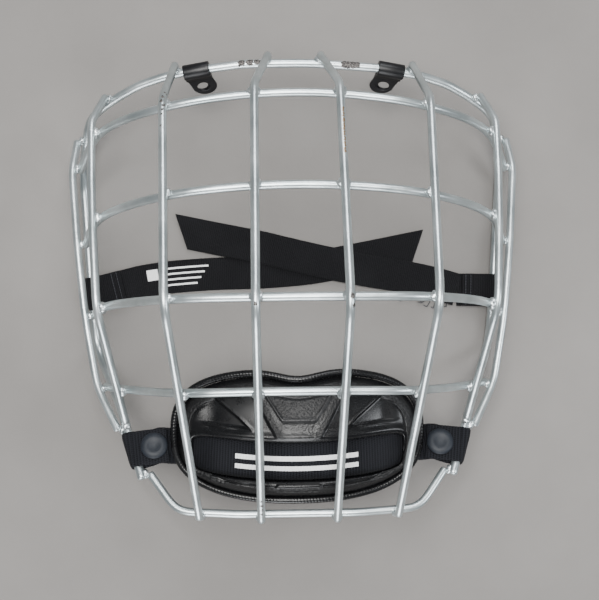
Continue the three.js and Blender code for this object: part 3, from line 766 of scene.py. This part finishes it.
def clip_leg(shift, shorten, level_z):
    """One layer of the tab, in the clip's frame: X along the wire, Y out along the tab, Z through it."""
    half, neck, end = CLIP["width"] / 2, CLIP["neck"], CLIP["end"]
    far = CLIP["length"] - shorten
    round_end = arc(shift - CLIP["lean"], far - end, end, 30, 178, 25)
    edge = [(-half, neck), (half, neck), (half - 0.2, 3.4), *round_end, (-half + 0.3, 5.2)]
    hole = arc(shift, CLIP["hole_at"] - shorten / 2, CLIP["hole"] / 2, 0, 350, 36)
    points, faces = outline_plate("clip_leg", [edge, hole], CLIP["steel"] * 0.9, 0.22)
    points[:, 2] += level_z
    return points, faces


def clip_band():
    """The band round the wire, in the clip's frame."""
    inner = RIM_D / 2 + CLIP["clearance"]
    outer = inner + CLIP["steel"]
    neck = math.degrees(math.asin(CLIP["steel"] / outer))
    section = arc(0, 0, outer, neck, 360 - neck, 60)
    section += [(outer + 1.6, -CLIP["steel"] * 0.95), (outer + 1.6, CLIP["steel"] * 0.95)]
    points, faces = outline_plate("clip_band", [section, arc(0, 0, inner, 0, 352, 46)], CLIP["width"], 0.3)
    return points[:, [2, 0, 1]], faces


def top_clip(side):
    at, along = level(wire_lines["rim_wire"], 0, CLIP["x"])
    along = along * np.sign(along[0])
    reach = np.array([0.0, -math.cos(CLIP_TILT), -math.sin(CLIP_TILT)])
    out = unit(reach - along * np.dot(reach, along))
    through = np.cross(along, out)
    local, faces = joined([clip_band(), *(clip_leg(*leg) for leg in CLIP_LEGS)])
    wear = smoothstep(-local[:, 1], -1.2, 2.2) * (1 - smoothstep(np.abs(local[:, 0]), 5.6, 6.2))
    moved = placed(local, at, along, out, through)
    clip = piece(f"clip_steel_{side}", moved, faces, clip_steel, SIDES[side] < 0, values={"wear": wear})
    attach(clip, f"top_clip_{side}")
    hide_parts(f"top_clip_{side}")


for side in SIDES:
    top_clip(side)

# ---- Sewn ends of the side straps -----------------------------------------------------------

LOOP_Y = -3.0
LOOP_LENGTH = 16.0
LOOP_FLAT = (5.2, 9.0)  # beside the wire both layers lie level between these distances from it
LAYER_GAP = 0.04
LOOP_CLEARANCE = 0.45  # from the wire, so that the loop turns round it without touching
STITCH = {"length": 1.2, "radius": 0.19, "rows": (11.6, 14.2), "count": 11}
thread_cloth = sewing_thread()


def sewn_end(side):
    """The strap's end: up over the rim wire from below, back on top of itself and sewn down."""
    sign = SIDES[side]
    at, along = level(wire_lines["rim_wire"], 1, LOOP_Y)
    if at[0] * sign < 0:
        at, along = at * [-1, 1, 1], along * [-1, 1, 1]
    along = along * np.sign(along[1])
    inward = unit(np.array([-sign, 0.0, 0.0]) - along * -sign * along[0])
    target = np.array(STRAP_ROUTES[side][0]) - at
    reach, drift, drop = np.dot(target, inward), np.dot(target, along), target[2]
    around = RIM_D / 2 + LOOP_CLEARANCE + STRAP_T / 2
    layer = STRAP_T / 2 + LAYER_GAP
    near, far = LOOP_FLAT
    side_view = [(reach, drop), (reach - 4, drop - 0.1), (far, -layer), (near, -layer)]
    side_view += [(around * math.cos(a), -around * math.sin(a)) for a in np.radians(np.arange(40, 330, 20))]
    side_view += [(near, layer), (far, layer), (LOOP_LENGTH - 3.5, layer + 0.1)]
    side_view += [(LOOP_LENGTH, drop + STRAP_T + 0.05)]
    corners = [at + inward * d + along * (drift * max(d, 0) / reach) + [0, 0, n] for d, n in side_view]
    line = softened(np.array(corners), STRAP_PITCH / RIB_STEPS, 0.8)
    slanted = unit(along - inward * (drift / reach))
    across = np.repeat(slanted[None], len(line), axis=0)
    points, faces, uv = webbing(line, across, STRAP_W, STRAP_T, STRAP_PITCH)
    loop = piece(f"sewn_end_{side}", points, faces, strap_cloth["right"], uv=uv)
    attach(loop, f"strap_end_{side}")
    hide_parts(f"strap_loop_{side}")
    top = drop + 1.5 * STRAP_T + 0.12
    stitches = []
    for row in STITCH["rows"]:
        for k in range(STITCH["count"]):
            lateral = (k / (STITCH["count"] - 1) - 0.5) * (STRAP_W - 2.4)
            middle = at + inward * row + slanted * lateral + along * (drift * row / reach) + [0, 0, top]
            stitches.append((middle, slanted))
    add_stitches(f"stitching_{side}", stitches, f"strap_end_{side}")


def add_stitches(name, stitches, body):
    """Short raised thread stitches: each one a bent capsule at its middle, along its direction."""
    reach = np.linspace(-0.5, 0.5, 7)
    rise = np.array([0, 0, 1.0]) * (0.14 * np.cos(math.pi * reach) - 0.1)[:, None]
    radii = STITCH["radius"] * np.sqrt(1 - (1.7 * reach) ** 2)
    parts = []
    for middle, direction in stitches:
        line = middle + direction * (reach * STITCH["length"])[:, None] + rise
        parts.append(skin(rings_along(line, *transported(line), radii[:, None], 8)))
    points, faces = joined(parts)
    made = piece(name, points, faces, thread_cloth)
    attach(made, body)


for side in SIDES:
    sewn_end(side)

# ---- Chin cup -------------------------------------------------------------------------------

CUP_TILT = math.radians(8)
CUP_AXIS = np.array([0.0, -78.0, 36.0])
CUP = {
    "half_width": 56.8, "top": 37.2, "bottom": -20.6, "crest": 21.0, "across": 96.0, "along": 50.0,
    "middle": 8.0, "shell": 3.5, "seam": 0.5, "liner": 5.0, "piping": 3.6,
    "squareness": 0.72, "dip": 3.2, "dip_width": 13.0,
}
WINDOW = {"half_width": 50.0, "top": 8.2, "bottom": -11.6, "smile": 2.3, "squareness": 0.3}
CHIN_W, CHIN_T = 17.0, 1.5
WINDOW_WEB_W = 20.6
QUARTER = 130
SHELL_ROWS = 46


def bowl(u, v):
    """Height of the cup's outer face above its swing axis."""
    return CUP["crest"] - u ** 2 / (2 * CUP["across"]) - (v - CUP["middle"]) ** 2 / (2 * CUP["along"])


def cup_points(u, v, w):
    cos, sin = math.cos(CUP_TILT), math.sin(CUP_TILT)
    return np.stack([u, v * cos - w * sin, v * sin + w * cos], axis=-1) + CUP_AXIS


def on_bowl(u, v, rise=0.0):
    """Points on the cup's outer face, or above it by this rise."""
    return cup_points(u, v, bowl(u, v) + rise)


def cup_edge(angle, grow=0.0):
    """Edge of the cup from the front: two humps with a dip between them, round sides, flat bottom."""
    cos, sin = np.cos(angle), np.sin(angle)
    power = CUP["squareness"]
    u = (CUP["half_width"] + grow) * np.sign(cos) * np.abs(cos) ** power
    reach = np.where(sin > 0, CUP["top"] - CUP["middle"], CUP["middle"] - CUP["bottom"])
    dip = np.where(sin > 0, CUP["dip"] * np.exp(-((u / CUP["dip_width"]) ** 2)), 0.0)
    v = CUP["middle"] + (reach + grow - dip) * np.sign(sin) * np.abs(sin) ** power
    return np.stack([u, v], axis=-1)


def window_middle(u):
    """The opening is a bar that curves up at its ends: this is its middle line."""
    return (WINDOW["top"] + WINDOW["bottom"]) / 2 + WINDOW["smile"] * (u / WINDOW["half_width"]) ** 2


def window_edge(angle):
    """Edge of the opening that shows the webbing."""
    cos, sin = np.cos(angle), np.sin(angle)
    power = WINDOW["squareness"]
    u = WINDOW["half_width"] * np.sign(cos) * np.abs(cos) ** power
    half = (WINDOW["top"] - WINDOW["bottom"]) / 2
    v = window_middle(u) + half * np.sign(sin) * np.abs(sin) ** power
    return np.stack([u, v], axis=-1)


def even_ring(edge):
    """The same number of evenly spaced points along each quarter of a closed edge."""
    ring = []
    for quarter in range(4):
        angles = (quarter + np.linspace(0, 1, 1500)) * math.pi / 2
        dense = edge(angles)
        at = run_length(dense)
        ring.append(read_at(np.linspace(0, at[-1], QUARTER, endpoint=False), at, dense))
    return np.concatenate(ring)


outer_edge = even_ring(cup_edge)
inner_edge = even_ring(window_edge)


def distance_to(edge, points):
    """Distance in the cup's own plane from each point to a closed edge."""
    tree = KDTree(len(edge))
    for i, (u, v) in enumerate(edge):
        tree.insert((u, v, 0), i)
    tree.balance()
    return np.array([tree.find((u, v, 0))[2] for u, v in points])


def past_line(u, v, a, b):
    """Signed distance from the line through a and b, positive on its left."""
    direction = unit(np.array(b, float) - np.array(a, float))
    return direction[0] * (v - a[1]) - direction[1] * (u - a[0])


SCOOP = [(41.0, 29.5), (27.5, 19.5), (21.5, 13.8), (47.0, 15.6)]  # upper edge, knee, tip and lower edge
PANEL = {"half": 9.0, "slope": 0.56, "grain": 0.4}  # half width at the window, how it widens, how pebbled
BADGE = {"low": 19.4, "half": 7.4, "slope": 0.68}  # the pebbled field in the centre panel
PLATE = {"half": 8.2, "middle": 14.4, "half_height": 3.2}  # the flat plate under it


def ridge(distance, width):
    """1 on a line, falling off to both sides of it."""
    return np.exp(-(distance / width) ** 2)


def within(distance, low, high):
    """1 below the low distance, falling to 0 at the high one."""
    return 1 - smoothstep(distance, low, high)


def relief(points):
    """Raised and sunk detail of the moulded shell in millimetres, and how pebbled each point is."""
    u, v = np.abs(points[:, 0]), points[:, 1]
    to_edge = distance_to(outer_edge, points)
    to_window = distance_to(inner_edge, points)
    upper = smoothstep(v, 10.0, 12.0)
    below = within(v, -13.0, -12.0)

    # Rolled outer edge, rolled lip round the window, and the border that the raised front starts from.
    height = -2.4 * np.clip(1 - to_edge / 3.6, 0, 1) ** 2
    height += 1.1 * ridge(to_window - 2.6, 1.9) - 1.1 * np.clip(1 - to_window / 1.3, 0, 1) ** 2
    border = smoothstep(to_edge, 5.6, 6.4)
    height += 0.75 * border - 0.35 * ridge(to_edge - 5.9, 0.45)

    # A scoop on each side of the centre, with a crease along its upper edge and a slit in its lower one.
    above_line = np.minimum(past_line(u, v, SCOOP[0], SCOOP[1]), past_line(u, v, SCOOP[1], SCOOP[2]))
    above_low = past_line(u, v, SCOOP[2], SCOOP[3])
    scoop = smoothstep(above_line, -0.3, 1.1) * smoothstep(above_low, -0.3, 1.3) * within(u, 38.0, 50.0)
    height -= 2.3 * scoop * upper * border
    crease = ridge(above_line, 0.55) * smoothstep(above_low, -0.5, 0.5) * within(u, 36.0, 41.0)
    height += 0.6 * crease * upper
    height -= 1.1 * ridge(v - 13.8 - 0.03 * (u - 34), 0.85) * smoothstep(u, 22, 29) * within(u, 40, 46)

    # The centre panel, with its framed badge field and flat plate.
    to_panel = u - (PANEL["half"] + PANEL["slope"] * (v - WINDOW["top"]))
    panel = within(to_panel, -0.6, 0.5) * upper
    height += 0.8 * panel * border
    to_badge = np.maximum(u - (BADGE["half"] + BADGE["slope"] * (v - BADGE["low"])), BADGE["low"] - v)
    badge = within(to_badge, -0.5, 0.3) * upper
    height += (0.55 * ridge(to_badge - 0.4, 0.55) - 0.5 * badge) * upper * border
    to_plate = np.maximum(u - PLATE["half"], np.abs(v - PLATE["middle"]) - PLATE["half_height"])
    height -= 0.2 * within(to_plate, -0.5, 0.4) * upper

    # Under the window: a raised block with a grooved lozenge, and a long dent on each side.
    block = within(u - (9.4 + 0.8 * (-12.0 - v)), -0.4, 0.4)
    height += 0.7 * block * below * border
    lozenge = np.maximum((u - 8.2) * 0.6, np.abs(v + 16.2) - 0.7)
    height -= 0.4 * within(np.abs(lozenge), 0.15, 0.55) * below
    height -= 0.8 * ridge(v + 13.6 - 0.0012 * u ** 2, 0.9) * smoothstep(u, 17, 24) * within(u, 36, 45)

    band = within(np.abs(to_panel + 2.2), 1.3, 1.8) * upper
    strip = smoothstep(to_edge, 1.0, 1.6) * within(to_edge, 5.0, 5.6)
    pebbled = np.maximum(np.maximum(badge, band), PANEL["grain"] * panel) * border
    return height, np.maximum(pebbled, strip)


foam = moulded_foam()


def cup_shell():
    rings, pebbles = [], []
    for t in np.linspace(0, 1, SHELL_ROWS):
        flat = inner_edge * (1 - t) + outer_edge * t
        height, pebble = relief(flat)
        rings.append(on_bowl(*flat.T, height))
        pebbles.append(pebble)
    outward = unit(outer_edge - np.array([0.0, CUP["middle"]]))
    for depth, bulge in ((-2.5, 0.25), (-3.0, 0.2)):
        flat = outer_edge + outward * bulge
        rings.append(on_bowl(*flat.T, depth))
        pebbles.append(np.zeros(len(flat)))
    for t in np.linspace(1, 0, 8):
        flat = inner_edge * (1 - t) + outer_edge * t
        rings.append(on_bowl(*flat.T, -CUP["shell"]))
        pebbles.append(np.zeros(len(flat)))
    points, faces = skin(np.array(rings), closed_row=True)
    shell = piece("moulded_shell", points, faces, foam, values={"pebble": np.concatenate(pebbles)})
    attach(shell, "chin_cup")
    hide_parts("chin_cup_shell")


cup_shell()

PIPING_TWIST = 1.5  # length of one turn of the piping's cord
PIPING_SIDES = 20


def cup_piping():
    radius = CUP["piping"] / 2
    flat = even_ring(lambda angle: cup_edge(angle, radius + 0.15))
    dense = np.concatenate([flat, flat[:1]])
    line = respaced(on_bowl(*dense.T, -CUP["shell"] / 2 - 0.2), PIPING_TWIST / 4)[:-1]
    along = unit(np.roll(line, -1, axis=0) - np.roll(line, 1, axis=0))
    up = cup_points(0.0, 0.0, 1.0) - CUP_AXIS
    side = unit(np.cross(along, up))
    up = np.cross(side, along)
    turns = np.linspace(0, 2 * math.pi, PIPING_SIDES, endpoint=False)
    whole_turns = round(run_length(line)[-1] / PIPING_TWIST)
    phase = 2 * math.pi * whole_turns * np.arange(len(line)) / len(line)
    thick = radius * (0.97 + 0.03 * np.cos(phase[:, None] + 2 * turns[None]))
    points, faces = skin(rings_along(line, side, up, thick, PIPING_SIDES), closed_row=True)
    rope = piece("cup_piping_cord", points, faces, foam, values={"pebble": np.zeros(len(points))})
    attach(rope, "chin_cup")
    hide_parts("chin_cup_piping")


cup_piping()

LINER_ROWS = 40
LINER_SEAMS = (-28.0, 0.0, 28.0)
LINER_SEAM_W = 1.3
LINER_CROWN = 1.6
FLAT_CROWN = 0.9  # the crown that the cloth simulation starts from
LINER_EDGE = 0.93  # the pad is sewn down outside this share of its outline


def liner_mesh(crown):
    """Closed pad: grooved in front for the webbing, crowned between sewn channels behind."""
    front = CUP["shell"] + CUP["seam"]
    rim_depth = CUP["liner"] - LINER_CROWN
    middle = np.array([0.0, CUP["middle"]])
    rings = []

    def ring(t, depth_at):
        u, v = (middle + (outer_edge[::2] - middle) * t).T
        groove = 1 - smoothstep(np.abs(v - window_middle(u)), WINDOW_WEB_W / 2, WINDOW_WEB_W / 2 + 1.2)
        depth = np.maximum(front + depth_at(u), front + (CHIN_T + 0.25) * groove)
        rings.append(on_bowl(u, v, -depth))

    def crowned(t):
        def depth_at(u):
            channels = sum(np.exp(-((u - at) / LINER_SEAM_W) ** 2) for at in LINER_SEAMS)
            return rim_depth + crown * (1 - t ** 6) * smoothstep(1 - t, 0.0, 0.16) * (1 - 0.75 * channels)
        return depth_at

    for t in np.linspace(0.03, 0.985, LINER_ROWS):
        ring(t, lambda u: 0.0)
    for angle in np.radians([30, 60, 90, 120, 150]):
        ring(0.985 + 0.014 * math.sin(angle), lambda u: (1 - math.cos(angle)) * 0.5 * rim_depth)
    for t in np.linspace(0.985, 0.03, LINER_ROWS):
        ring(t, crowned(t))
    return skin(np.array(rings))


# The liner's cloth simulation: lengths in metres, apart from the half width held down at each seam.
PUFF = {
    "voxel": 0.0016, "pressure": 4.0, "frames": 20, "mass": 0.05, "quality": 8,
    "most": 0.0016, "seam": 2.4,
}


def cup_frame(points):
    """Points of the part, in metres, back in the cup's own frame in millimetres."""
    local = points / MM - CUP_AXIS
    cos, sin = math.cos(CUP_TILT), math.sin(CUP_TILT)
    return local[:, 0], local[:, 1] * cos + local[:, 2] * sin, local[:, 2] * cos - local[:, 1] * sin


def coordinates(mesh):
    flat = np.zeros(len(mesh.vertices) * 3, np.float32)
    mesh.vertices.foreach_get("co", flat)
    return flat.reshape(-1, 3).astype(float)


def puffed(pad):
    """Fills out the pad's back by a cloth simulation under pressure, held at its seams and edge."""
    remesh = pad.modifiers.new("remesh", "REMESH")
    remesh.mode = "VOXEL"
    remesh.voxel_size = PUFF["voxel"]
    coarse = bpy.data.meshes.new_from_object(pad.evaluated_get(bpy.context.evaluated_depsgraph_get()))
    coarse.materials.clear()
    coarse.materials.append(pad.data.materials[0])
    pad.modifiers.clear()
    pad.data = coarse
    before = coordinates(coarse)
    u, v, w = cup_frame(before)
    depth = bowl(u, v) - w - CUP["shell"] - CUP["seam"]
    inside = np.hypot(u / CUP["half_width"], (v - CUP["middle"]) / (CUP["top"] - CUP["middle"]))
    free = (depth > 0.6 * CUP["liner"]) & (inside < LINER_EDGE)
    for at in LINER_SEAMS:
        free &= np.abs(u - at) > PUFF["seam"]
    pins = pad.vertex_groups.new(name="sewn")
    pins.add(np.flatnonzero(~free).tolist(), 1.0, "REPLACE")
    cloth = pad.modifiers.new("cloth", "CLOTH")
    cloth.settings.vertex_group_mass = "sewn"
    cloth.settings.use_pressure = True
    cloth.settings.uniform_pressure_force = PUFF["pressure"]
    cloth.settings.effector_weights.gravity = 0
    cloth.settings.mass = PUFF["mass"]
    cloth.settings.quality = PUFF["quality"]
    cloth.point_cache.frame_start = 1
    cloth.point_cache.frame_end = PUFF["frames"]
    scene = bpy.context.scene
    for number in range(1, PUFF["frames"] + 1):
        scene.frame_set(number)
    settled = pad.evaluated_get(bpy.context.evaluated_depsgraph_get())
    moved = coordinates(settled.data) - before
    far = np.linalg.norm(moved, axis=1, keepdims=True)
    moved *= np.minimum(1.0, PUFF["most"] / np.maximum(far, 1e-9))
    pad.modifiers.clear()
    pad.vertex_groups.clear()
    coarse.vertices.foreach_set("co", (before + moved).astype(np.float32).ravel())
    coarse.polygons.foreach_set("use_smooth", [True] * len(coarse.polygons))
    coarse.update()
    pad.modifiers.new("smooth", "SUBSURF").levels = 1
    scene.frame_set(1)


def cup_liner():
    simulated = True
    points, faces = liner_mesh(FLAT_CROWN if simulated else LINER_CROWN)
    liner = piece("padded_liner", points, faces, lining_cloth())
    if simulated:
        puffed(liner)
    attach(liner, "chin_cup")
    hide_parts("chin_cup_liner")


cup_liner()

# ---- Chin webbing, its folded ends and the snaps --------------------------------------------

CHIN_PITCH = 1.4
WEB_PROUD = 2.0  # the webbing bulges this far forward inside the window
HIDDEN_END = 55.0  # the cup's webbing meets the folded ends here, behind the shell
WEB_DEPTH = CUP["shell"] + CUP["seam"] + CHIN_T / 2
# The light tone is painted light on the ribs' crests and the colour of worn patches; the dark tone is painted
# shade in the grooves.
CHIN_LIGHT, CHIN_DARK = (0.017, 0.018, 0.022), (0.002, 0.002, 0.0025)
CHIN_PRINT = [(2.8, 8.6, 0.04, 0.28), (2.8, 8.6, -0.46, -0.22)]

chin_cloth = webbing_cloth("chin_webbing_cloth", CHIN_PITCH, CHIN_LIGHT, CHIN_DARK)
striped_cloth = webbing_cloth("chin_webbing_striped", CHIN_PITCH, CHIN_LIGHT, CHIN_DARK, CHIN_PRINT)


def cup_webbing():
    """The webbing behind the window follows the bowl and stands a little proud inside the opening."""
    u = np.linspace(-HIDDEN_END, HIDDEN_END, 400)
    flat = np.stack([u, window_middle(u), bowl(u, window_middle(u)) - WEB_DEPTH], axis=1)
    line = respaced(flat, CHIN_PITCH / RIB_STEPS)
    across = np.repeat([[0.0, 1.0, 0.0]], len(line), axis=0)
    points, faces, uv = webbing(line, across, WINDOW_WEB_W, CHIN_T, CHIN_PITCH)
    u, v, w = points.T
    middle = window_middle(u)
    edge = np.clip(2 * (v - middle) / WINDOW_WEB_W, -1, 1)
    proud = WEB_PROUD * (1 - edge ** 6) * (1 - smoothstep(np.abs(u), 38, 52))
    points = cup_points(u, v, w + bowl(u, v) - bowl(u, middle) + proud)
    strap = piece("window_webbing", points, faces, striped_cloth, uv=uv)
    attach(strap, "chin_cup")
    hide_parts("chin_webbing")


cup_webbing()

JAW_Y = -78.0
TAB_INWARD = unit(np.array([-0.992, 0.1, -0.07]))
FLAP_END = 16.2
SNAP_AT = 10.0
FOLD = RIM_D / 2 + 0.3 + CHIN_T / 2  # middle of the webbing where it goes round the wire
BACK_RISE = 2.6  # the back layer climbs this far above the flap before it goes behind the cup
RISE_STRETCH = (4.0, 14.0)  # and it does so between these distances from the wire


def jaw_frame():
    """Right side: the wire's middle at the jaw, and the ways inward, down along the wire and outward."""
    rim = wire_lines["rim_wire"]
    right = rim[rim[:, 0] > 0]
    point, along = level(right, 1, JAW_Y)
    along = along * -np.sign(along[1])
    return point, TAB_INWARD, along, unit(np.cross(TAB_INWARD, along))


JAW = jaw_frame()


def jaw_line(side_view, rise=0.0):
    """Points of a side view (inward, outward) of the tab, as a line in the part's frame."""
    point, inward, along, outward = JAW
    lifts = rise * smoothstep(np.array([d for d, _ in side_view], float), *RISE_STRETCH)
    line = [point + inward * d + outward * n - along * up for (d, n), up in zip(side_view, lifts)]
    return np.array(line)


def round_fold(start, end):
    """Side view of the fold round the outboard side of the wire, angles in degrees."""
    return [(FOLD * math.cos(a), FOLD * math.sin(a)) for a in np.radians(np.linspace(start, end, 10))]


def back_layer(side):
    """From behind the cup, along the back of the tab and round the wire to its front."""
    u = np.array([HIDDEN_END - 0.5, HIDDEN_END + 2.5])
    into_cup = on_bowl(u, window_middle(u), -WEB_DEPTH)
    outside = jaw_line([(12.6, -FOLD), (8.0, -FOLD), (3.0, -FOLD)] + round_fold(270, 92), BACK_RISE)
    line = softened(np.concatenate([into_cup, outside]), CHIN_PITCH / RIB_STEPS, 1.0)
    cup_up = cup_points(0.0, 1.0, 0.0) - CUP_AXIS
    turned = smoothstep(line[:, 0], 55.5, 65.0)[:, None]
    across = unit(cup_up * (1 - turned) - JAW[2] * turned)
    points, faces, uv = webbing(line, across, CHIN_W, CHIN_T, CHIN_PITCH)
    layer = piece(f"tab_back_layer_{side}", points, faces, chin_cloth, SIDES[side] < 0, uv=uv)
    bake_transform(layer)
    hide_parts(f"chin_strap_back_{side}")


def front_flap(side):
    """From the top of the fold to the flap's free end, which snaps down."""
    side_view = [*round_fold(100, 90), (2.0, FOLD), (8.0, FOLD), (FLAP_END, FOLD)]
    line = softened(jaw_line(side_view), CHIN_PITCH / RIB_STEPS, 0.8)
    across = np.repeat(-JAW[2][None], len(line), axis=0)
    points, faces, uv = webbing(line, across, CHIN_W, CHIN_T, CHIN_PITCH)
    flap = piece(f"tab_flap_{side}", points, faces, chin_cloth, SIDES[side] < 0, uv=uv)
    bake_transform(flap)
    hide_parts(f"chin_strap_flap_{side}")


# Snap profiles are (radius, height) points, and each part stands at a height from the wire's middle.
FLAP_FRONT = FOLD + CHIN_T / 2
LAYER_INSIDE = FOLD - CHIN_T / 2
CAP_PROFILE = [
    (0, 0.1), (5.8, 0.1), (6.25, 0.25), (6.4, 0.6), (6.25, 1.05), (5.6, 1.55), (4.7, 1.95),
    (4.0, 2.1), (3.4, 2.06), (2.8, 1.9), (2.1, 1.72), (1.2, 1.6), (0, 1.56),
]
SOCKET_PROFILE = [
    (2.6, -0.3), (2.6, -2.5), (2.9, -2.7), (4.6, -2.7), (5.2, -2.3), (5.4, -1.8), (5.4, -0.5),
    (5.2, -0.3), (2.6, -0.3),
]
STUD_PROFILE = [
    (0, 0.3), (4.1, 0.3), (4.4, 0.5), (4.4, 0.9), (4.1, 1.15), (2.1, 1.25), (1.8, 1.5),
    (1.9, 2.0), (2.1, 2.5), (1.9, 3.0), (1.3, 3.2), (0, 3.2),
]
SNAP_SIDES = 48
SNAP_LOOKS = {"snap_plastic": snap_plastic(), "snap_metal": snap_metal()}
SNAP_PARTS = {
    "snap_cap": (CAP_PROFILE, FLAP_FRONT + 0.25, "flap", "snap_plastic"),
    "snap_socket": (SOCKET_PROFILE, LAYER_INSIDE, "flap", "snap_metal"),
    "snap_stud": (STUD_PROFILE, -LAYER_INSIDE, "cage", "snap_metal"),
}


def snap_part(name, side):
    profile, level_n, body, slot = SNAP_PARTS[name]
    local, faces = revolved(profile, SNAP_SIDES)
    point, inward, _, outward = JAW
    sideways = np.cross(outward, inward)
    points = placed(local, point + inward * SNAP_AT + outward * level_n, inward, sideways, outward)
    made = piece(f"{name}_turned_{side}", points, faces, SNAP_LOOKS[slot], SIDES[side] < 0)
    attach(made, body if body == "cage" else f"flap_{side}")
    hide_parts(f"{name}_{side}")


for side in SIDES:
    back_layer(side)
    front_flap(side)
    for name in SNAP_PARTS:
        snap_part(name, side)

# ---- Frayed threads -------------------------------------------------------------------------

FRAY_RADIUS = 0.22
FRAY_AT = (56.0, 60.5, 63.0, 66.0, 68.0, 70.0, 72.5, 74.0, 76.0, 78.0)


def frayed_threads():
    """Loose warp ends hanging from the lower edge of the right strap."""
    line = strap_lines["right"]
    parts = []
    for x in FRAY_AT:
        start = level(line, 0, x)[0] - np.array([0, STRAP_W / 2 - 0.3, 0])
        curl, reach = dice.uniform(-3.0, 3.0), dice.uniform(2.4, 5.2)
        route = [
            start,
            start + [curl * 0.3, -reach * 0.5, -0.7],
            start + [curl * 0.9, -reach * 0.9, -1.3],
            start + [curl * 1.5, -reach * 0.75, -1.5],
        ]
        thread = curve_through(route, 0.35)
        thread[:, 2] = np.maximum(thread[:, 2], FRAY_RADIUS + 0.05)
        radii = np.full((len(thread), 1), FRAY_RADIUS)
        parts.append(skin(rings_along(thread, *transported(thread), radii, 6)))
    points, faces = joined(parts)
    made = piece("frayed_threads", points, faces, thread_cloth)
    follow_strap(made)


frayed_threads()

# ---- Floor, light and the rest of the stage -------------------------------------------------

FLOOR_HALF = 3.0  # metres
WORLD = {"color": (0.84, 0.9, 0.96), "strength": 0.2}
LIGHTS = {  # place and size in metres, power in watts, colour
    "overhead": ((-0.14, 0.12, 1.5), 0.8, 40.0, (1.0, 0.99, 0.97)),
    "forehead_side": ((0.3, 1.75, 1.5), 1.0, 34.0, (0.97, 0.98, 1.0)),
    "chin_side": ((-0.2, -2.0, 0.7), 1.0, 40.0, (0.97, 0.98, 1.0)),
    "right_side": ((1.3, -0.2, 1.0), 0.5, 12.0, (0.93, 0.96, 1.0)),
}


def add_floor():
    mesh = bpy.data.meshes.new("floor")
    corners = [(x * FLOOR_HALF, y * FLOOR_HALF, 0.0) for x, y in ((-1, -1), (1, -1), (1, 1), (-1, 1))]
    mesh.from_pydata(corners, [], [(0, 1, 2, 3)])
    mesh.materials.append(floor_paint())
    floor = new_object("floor", mesh)


def add_light(name, place, size, power, color):
    data = bpy.data.lights.new(name, "AREA")
    data.shape = "SQUARE"
    data.size = size
    data.energy = power
    data.color = color
    lamp = new_object(name, data)
    lamp.location = place
    lamp.rotation_mode = "QUATERNION"
    lamp.rotation_quaternion = (-Vector(place)).to_track_quat("-Z", "Y")


def add_world(color, strength):
    world = bpy.data.worlds.new("studio")
    world.use_nodes = True
    background = world.node_tree.nodes["Background"]
    background.inputs["Color"].default_value = (*color, 1)
    background.inputs["Strength"].default_value = strength
    bpy.context.scene.world = world


add_floor()
add_world(**WORLD)
for name, settings in LIGHTS.items():
    add_light(name, *settings)
